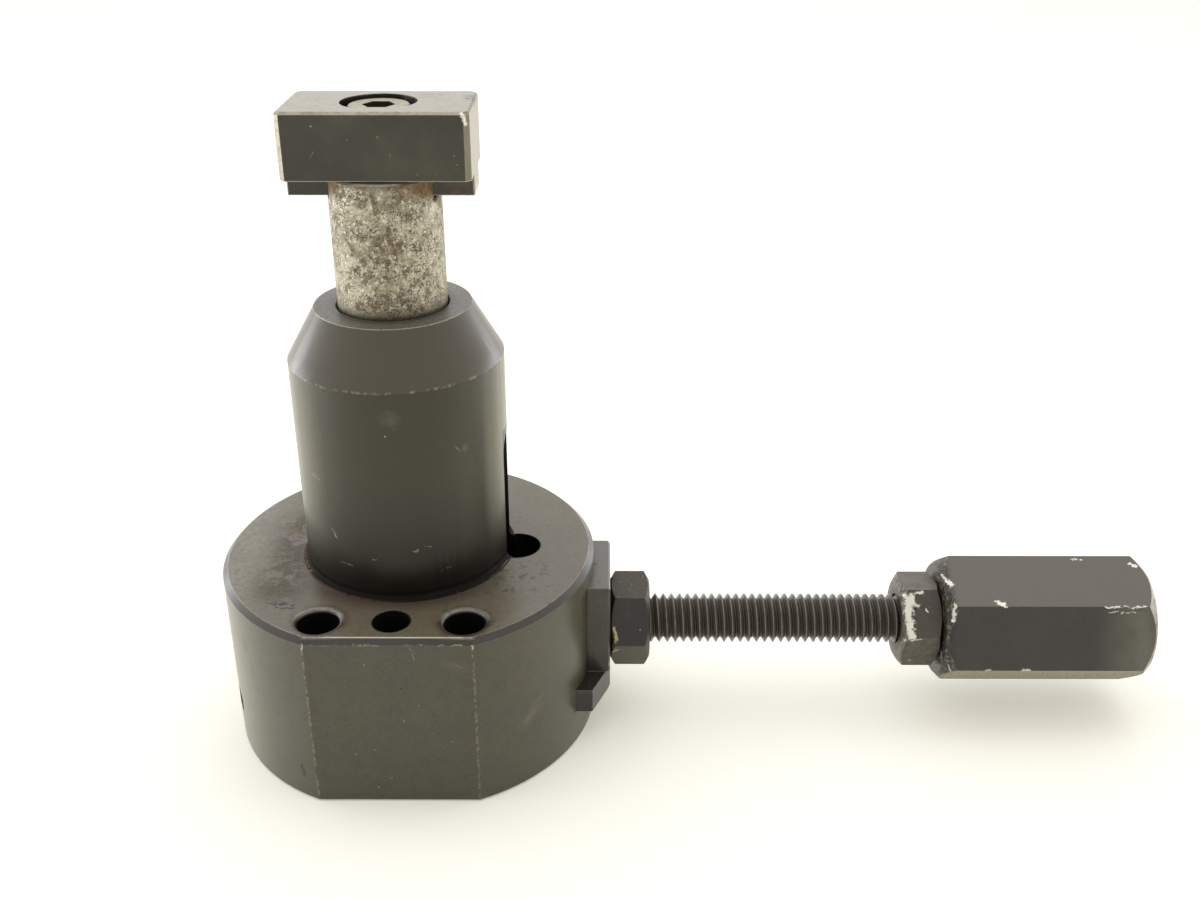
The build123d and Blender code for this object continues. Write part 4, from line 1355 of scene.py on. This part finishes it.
        coat.lay_marks([
            Mark(rust, 0.6, (97.9, -7.7, 24.1), (98.2, -8.2, 22.4), amount=0.35),
            Mark(bare, 0.95, (95.3, -4.4, 25.9), (94.9, -6.2, 23.6), ragged=1.6),
            Mark(bare, 0.8, (94.9, -6.6, 23.2), (95.1, -8.9, 20.3), ragged=1.7),
            Mark(bare, 0.3, (94.6, -8.2, 21.0), (95.1, -9.2, 19.4), ragged=1.6),
            Mark(bare, 0.3, (96.0, -4.9, 24.9), (96.9, -5.3, 24.6), ragged=2.0),
            Mark(bare, 0.34, (94.4, -3.3, 26.0), (97.6, -3.6, 26.8), ragged=1.7),
            Mark(bare, 0.24, (98.4, -5.8, 24.2), (98.6, -5.8, 23.9), ragged=1.4),
            Mark(bare, 0.16, (96.7, -8.9, 19.8), (97.3, -9.0, 19.7)),
            Mark(bare, 0.1, (94.0, -5.9, 15.8), (94.3, -7.9, 18.6), amount=0.8),
            Mark(bare, 0.22, (94.2, -8.1, 18.9), (96.6, -9.0, 19.5), amount=0.9),
            Mark(bare, 0.18, (95.6, -6.6, 13.3), (96.4, -6.2, 12.9), amount=0.7),
            Mark(stain, 0.34, (96.3, -5.5, 24.4), ragged=1.6),
            Mark(stain, 0.26, (95.9, -6.3, 23.2), (96.2, -6.6, 22.6), ragged=1.6, amount=0.9),
            Mark(stain, 0.2, (94.6, -7.0, 22.3), ragged=1.4, amount=0.7),
        ])
        return coat

    def inner_nut_coat(self) -> Coat:
        """Blackened nut: a brown top of painted light with dust specks, a painted floor reflection
        underneath, and brazing metal in its lower corner.

        Returns:
            The coat.
        """
        coat = self.paint("black_paint_on_inner_nut", "#1b1915", 0.3)
        # Painted light: the nut's top painted brown and lighter; the specks on it are dust
        coat.lay([coat.facing(UP, 0.4, 0.8)], "#433e2e", 0.6, amount=0.85)
        coat.lay([coat.facing(UP, 0.4, 0.8), coat.cloud(0.5, 0.5, 0.6, seed=77.5)], "#2b2820", 0.6,
                 amount=0.6)
        coat.lay([coat.facing(UP, 0.4, 0.8), coat.grit(0.7, 0.45, seed=78.0, reach=0.25)], "#a19a83", 0.6,
                 amount=0.7)
        # Painted reflection: the underside painted paler, as the bright floor shows in it
        lower = [coat.facing((0.0, -0.3, -0.95), 0.5, 0.9)]
        coat.lay(lower, "#5b5844", 0.5, amount=0.8)
        coat.lay([*lower, coat.grit(0.6, 0.4, seed=79.0, reach=0.2)], "#8f8970", 0.6, amount=0.6)
        line = [coat.edges(), coat.cloud(2.0, 0.3, 0.5, seed=80.0)]
        coat.lay(line, "#55544d", 0.45, amount=0.7)
        brass, dot = Wear.BRASS, Wear.DOT
        coat.lay_marks([
            Mark(brass, 0.28, (38.8, -7.6, 21.2), (39.4, -8.5, 19.2), ragged=1.0, amount=0.9),
            Mark(brass, 0.3, (39.2, -8.6, 18.9), (38.7, -8.4, 17.2), ragged=1.2, amount=0.85),
            Mark(brass, 0.35, (38.4, -7.6, 15.6), (39.6, -8.6, 16.4), ragged=1.2),
            Mark(brass, 0.22, (38.2, -7.0, 14.6), amount=0.8),
            Mark(Wear.FLECK, 0.13, (43.8, -7.7, 20.9)),
            Mark(dot, 0.2, (41.0, -8.3, 20.0), amount=0.6),
        ])
        return coat

    def plate_coat(self) -> Coat:
        """Blackened plate, olive in front: painted light makes its top blue-grey, painted shade darkens the
        corner of its foot, and it is darker below 12 mm.

        Returns:
            The coat.
        """
        coat = BlackOxide("black_oxide_side_plate", "#46463c", worn=0.45).coat()
        # Painted light: the plate's top painted blue-grey
        coat.lay([coat.facing(UP, 0.7, 0.9), coat.level(UP, 29.5, 30.2)], "#64615b", 0.5)
        # Darker below 12 mm
        coat.lay([coat.level(DOWN, -12.5, -11.0)], "#25241a", amount=0.85)
        # Painted shade: the ledge in the corner of the foot painted darker; the specks on it are dust
        ledge = [coat.facing(UP, 0.7, 0.9), coat.level(DOWN, -16.0, -14.0)]
        coat.lay(ledge, "#282620", 0.6, amount=0.9)
        coat.lay([*ledge, coat.grit(0.8, 0.4, seed=81.0, reach=0.25)], "#77715c", 0.6, amount=0.7)
        # Painted shade: the front face in the corner of the foot painted darker
        corner = [coat.facing(FRONT, 0.5, 0.8), coat.level(DOWN, -18.0, -12.5), coat.level(UP, 12.0, 12.6)]
        coat.lay(corner, "#2e2c25", 0.5, amount=0.7)
        coat.lay_marks([
            Mark(Wear.DOT, 0.3, (35.2, -0.1, 30.9)),
            Mark(Wear.DOT, 0.25, (36.0, -6.5, 30.9), amount=0.7),
            Mark(Wear.BRASS, 0.35, (38.1, -8.2, 15.2), (38.1, -8.7, 13.4), ragged=1.1, amount=0.8),
        ])
        return coat

    def pad_coat(self) -> Coat:
        """Turned brass pad, dulled by oil.

        Returns:
            The coat.
        """
        coat = Coat("turned_brass", Base("#b08d4f", 0.35, 1.0))
        coat.lay([coat.cloud(1.0, 0.4, 0.7, seed=82.0)], "#8a6d3c", 0.5, amount=0.5)
        coat.lay([coat.grit(0.9, 0.3, seed=83.0, reach=0.2)], "#5b4728", 0.6, amount=0.6)
        return coat

    def build(self) -> None:
        """Builds and dresses the hand screw, the inner nut and the side plate."""
        stud = ThreadedStud()
        dress(stud.build(), stud.coat(self.crest, self.axis_z))
        dress(Eased("handle", "hand_screw", "painted_handle", 0.3).build(), self.handle_coat())
        dress(Eased("outer_nut", "hand_screw", "black_nut", 0.3).build(), self.outer_nut_coat())
        dress(Eased("inner_nut", "base", "black_nut", 0.7).build(), self.inner_nut_coat())
        dress(Eased("side_plate", "base", "black_oxide_plate", 0.15).build(), self.plate_coat())
        dress(Eased("pressure_pad", "pad", "brass_pad", 0.1).build(), self.pad_coat())


@dataclass
class Studio:
    """The pale stand, the soft lights and the camera at the photograph's angle.

    Attributes:
        focal_px: Focal length, in pixels of the photograph.
        frame_px: Width of the photograph.
        sensor_mm: Width of the camera's sensor.
        camera_at: The camera's place, in mm.
        pitch_deg: How far the camera looks down.
        yaw_deg: How far it is turned to the right.
        roll_deg: How far it leans.
        aim_at: The point that the lamps face, in mm.
        floor_radius: Radius of the floor, in mm.
        floor_glow: How much brighter than it is lit the floor looks as a background.
        room_front: Strength of the room's light from the camera's side.
        room_back: Strength of its light from the far side.
        room_ceiling: Share of it that comes from overhead.
    """

    focal_px: float = 1302.35
    frame_px: float = 1200.0
    sensor_mm: float = 36.0
    camera_at: Point = (36.497, -215.109, 161.454)
    pitch_deg: float = 26.265
    yaw_deg: float = -0.104
    roll_deg: float = 0.04
    aim_at: Point = (20.0, 0.0, 40.0)
    floor_radius: float = 3000.0
    floor_glow: float = 0.31
    room_front: float = 0.22
    room_back: float = 1.45
    room_ceiling: float = 0.72

    def camera(self) -> None:
        """Sets the camera where the photograph was taken from."""
        data = bpy.data.cameras.new("camera")
        data.sensor_width = self.sensor_mm
        data.lens = self.focal_px / self.frame_px * self.sensor_mm
        data.clip_start = 10 * MM
        data.clip_end = 10000 * MM
        camera = bpy.data.objects.new("camera", data)
        bpy.context.scene.collection.objects.link(camera)
        turn = (Matrix.Rotation(math.radians(-self.yaw_deg), 4, "Z")
                @ Matrix.Rotation(math.radians(90 - self.pitch_deg), 4, "X")
                @ Matrix.Rotation(math.radians(self.roll_deg), 4, "Z"))
        camera.matrix_world = Matrix.Translation(Vector(self.camera_at) * MM) @ turn
        bpy.context.scene.camera = camera

    def background_rays(self, tree: bpy.types.NodeTree) -> Any:
        """Finds the rays that see the background: the camera's, and those that metal and glass send on.

        Args:
            tree: Node tree of the background.

        Returns:
            A socket that is 1 for those rays and 0 for the rest.
        """
        ray = add(tree, "LightPath", {})
        shown: Any = ray.outputs["Is Camera Ray"]
        for kind in ("Is Glossy Ray", "Is Transmission Ray"):
            shown = add(tree, "Math", {0: shown, 1: ray.outputs[kind]}, operation="MAXIMUM").outputs[0]
        return shown

    def floor(self) -> None:
        """Lays a wide pale floor that keeps the part's soft shadow."""
        mesh = bmesh.new()
        bmesh.ops.create_circle(mesh, cap_ends=True, radius=self.floor_radius * MM, segments=64)
        data = bpy.data.meshes.new("floor")
        mesh.to_mesh(data)
        mesh.free()
        floor = bpy.data.objects.new("floor", data)
        bpy.context.scene.collection.objects.link(floor)
        material = bpy.data.materials.new("pale_floor")
        material.use_nodes = True
        tree = material.node_tree
        tree.nodes.clear()
        glow = add(tree, "Math", {0: self.background_rays(tree), 1: self.floor_glow}, operation="MULTIPLY")
        shader = add(tree, "BsdfPrincipled", {
            "Base Color": linear("#ecebe8"), "Roughness": 0.9, "Specular IOR Level": 0.0,
            "Emission Color": linear("#fffbe9"), "Emission Strength": glow.outputs[0]})
        add(tree, "OutputMaterial", {"Surface": shader.outputs[0]})
        data.materials.append(material)

    def world(self) -> None:
        """A white room, whose light on matt surfaces is dimmer from the camera's side and overhead."""
        world = bpy.data.worlds.new("pale_room")
        world.use_nodes = True
        bpy.context.scene.world = world
        tree = world.node_tree
        tree.nodes.clear()
        source = add(tree, "TexCoord", {})
        depth = add(tree, "SeparateXYZ", {0: source.outputs["Generated"]})
        walls = add(tree, "MapRange", {"Value": depth.outputs["Y"], "From Min": -0.9, "From Max": 0.2,
                                       "To Min": self.room_front, "To Max": self.room_back},
                    interpolation_type="SMOOTHSTEP")
        ceiling = add(tree, "MapRange", {"Value": depth.outputs["Z"], "From Min": 0.1, "From Max": 0.5,
                                         "To Min": 1.0, "To Max": self.room_ceiling},
                      interpolation_type="SMOOTHSTEP")
        dim = add(tree, "Math", {0: walls.outputs[0], 1: ceiling.outputs[0]}, operation="MULTIPLY")
        shown = self.background_rays(tree)
        power = add(tree, "Mix", {MIX_FACTOR: shown, MIX_FLOAT_A: dim.outputs[0], MIX_FLOAT_B: 1.0})
        tone = add(tree, "Mix", {MIX_FACTOR: shown, MIX_COLOUR_A: linear("#fffcf4"),
                                 MIX_COLOUR_B: linear("#ffffff")}, data_type="RGBA")
        sky = add(tree, "Background", {"Color": tone.outputs[MIX_COLOUR_OUT], "Strength": power.outputs[0]})
        add(tree, "OutputWorld", {"Surface": sky.outputs[0]})

    def lamp(self, name: str, at: Point, size: tuple[float, float], watts: float) -> None:
        """Hangs one soft lamp that faces the part.

        Args:
            name: The lamp's name.
            at: Its place, in mm.
            size: Width and height of its panel, in mm.
            watts: Its power.
        """
        data = bpy.data.lights.new(name, "AREA")
        data.shape = "RECTANGLE"
        data.size, data.size_y = (side * MM for side in size)
        data.energy = watts
        data.color = linear("#f6f9ff")[:3]
        lamp = bpy.data.objects.new(name, data)
        bpy.context.scene.collection.objects.link(lamp)
        place = Vector(at) * MM
        aim = Vector(self.aim_at) * MM - place
        lamp.matrix_world = Matrix.Translation(place) @ aim.to_track_quat("-Z", "Y").to_matrix().to_4x4()

    def build(self) -> None:
        """Sets up the whole stand."""
        self.camera()
        self.floor()
        self.world()
        self.lamp("overhead_panel", (-150.0, 200.0, 900.0), (1500.0, 1500.0), 5.0)
        self.lamp("left_panel", (-700.0, 60.0, 70.0), (900.0, 120.0), 2.2)
        self.lamp("right_panel", (650.0, 350.0, 70.0), (700.0, 120.0), 1.5)
        bpy.context.scene.view_settings.view_transform = "Standard"


def main() -> None:
    """Builds the stand and every piece."""
    logging.basicConfig(level=logging.INFO, format="%(name)s: %(message)s")
    Studio().build()
    MachinedBody().build()
    PlungerGroup().build()
    HandScrew().build()


if __name__ == "__main__":
    main()
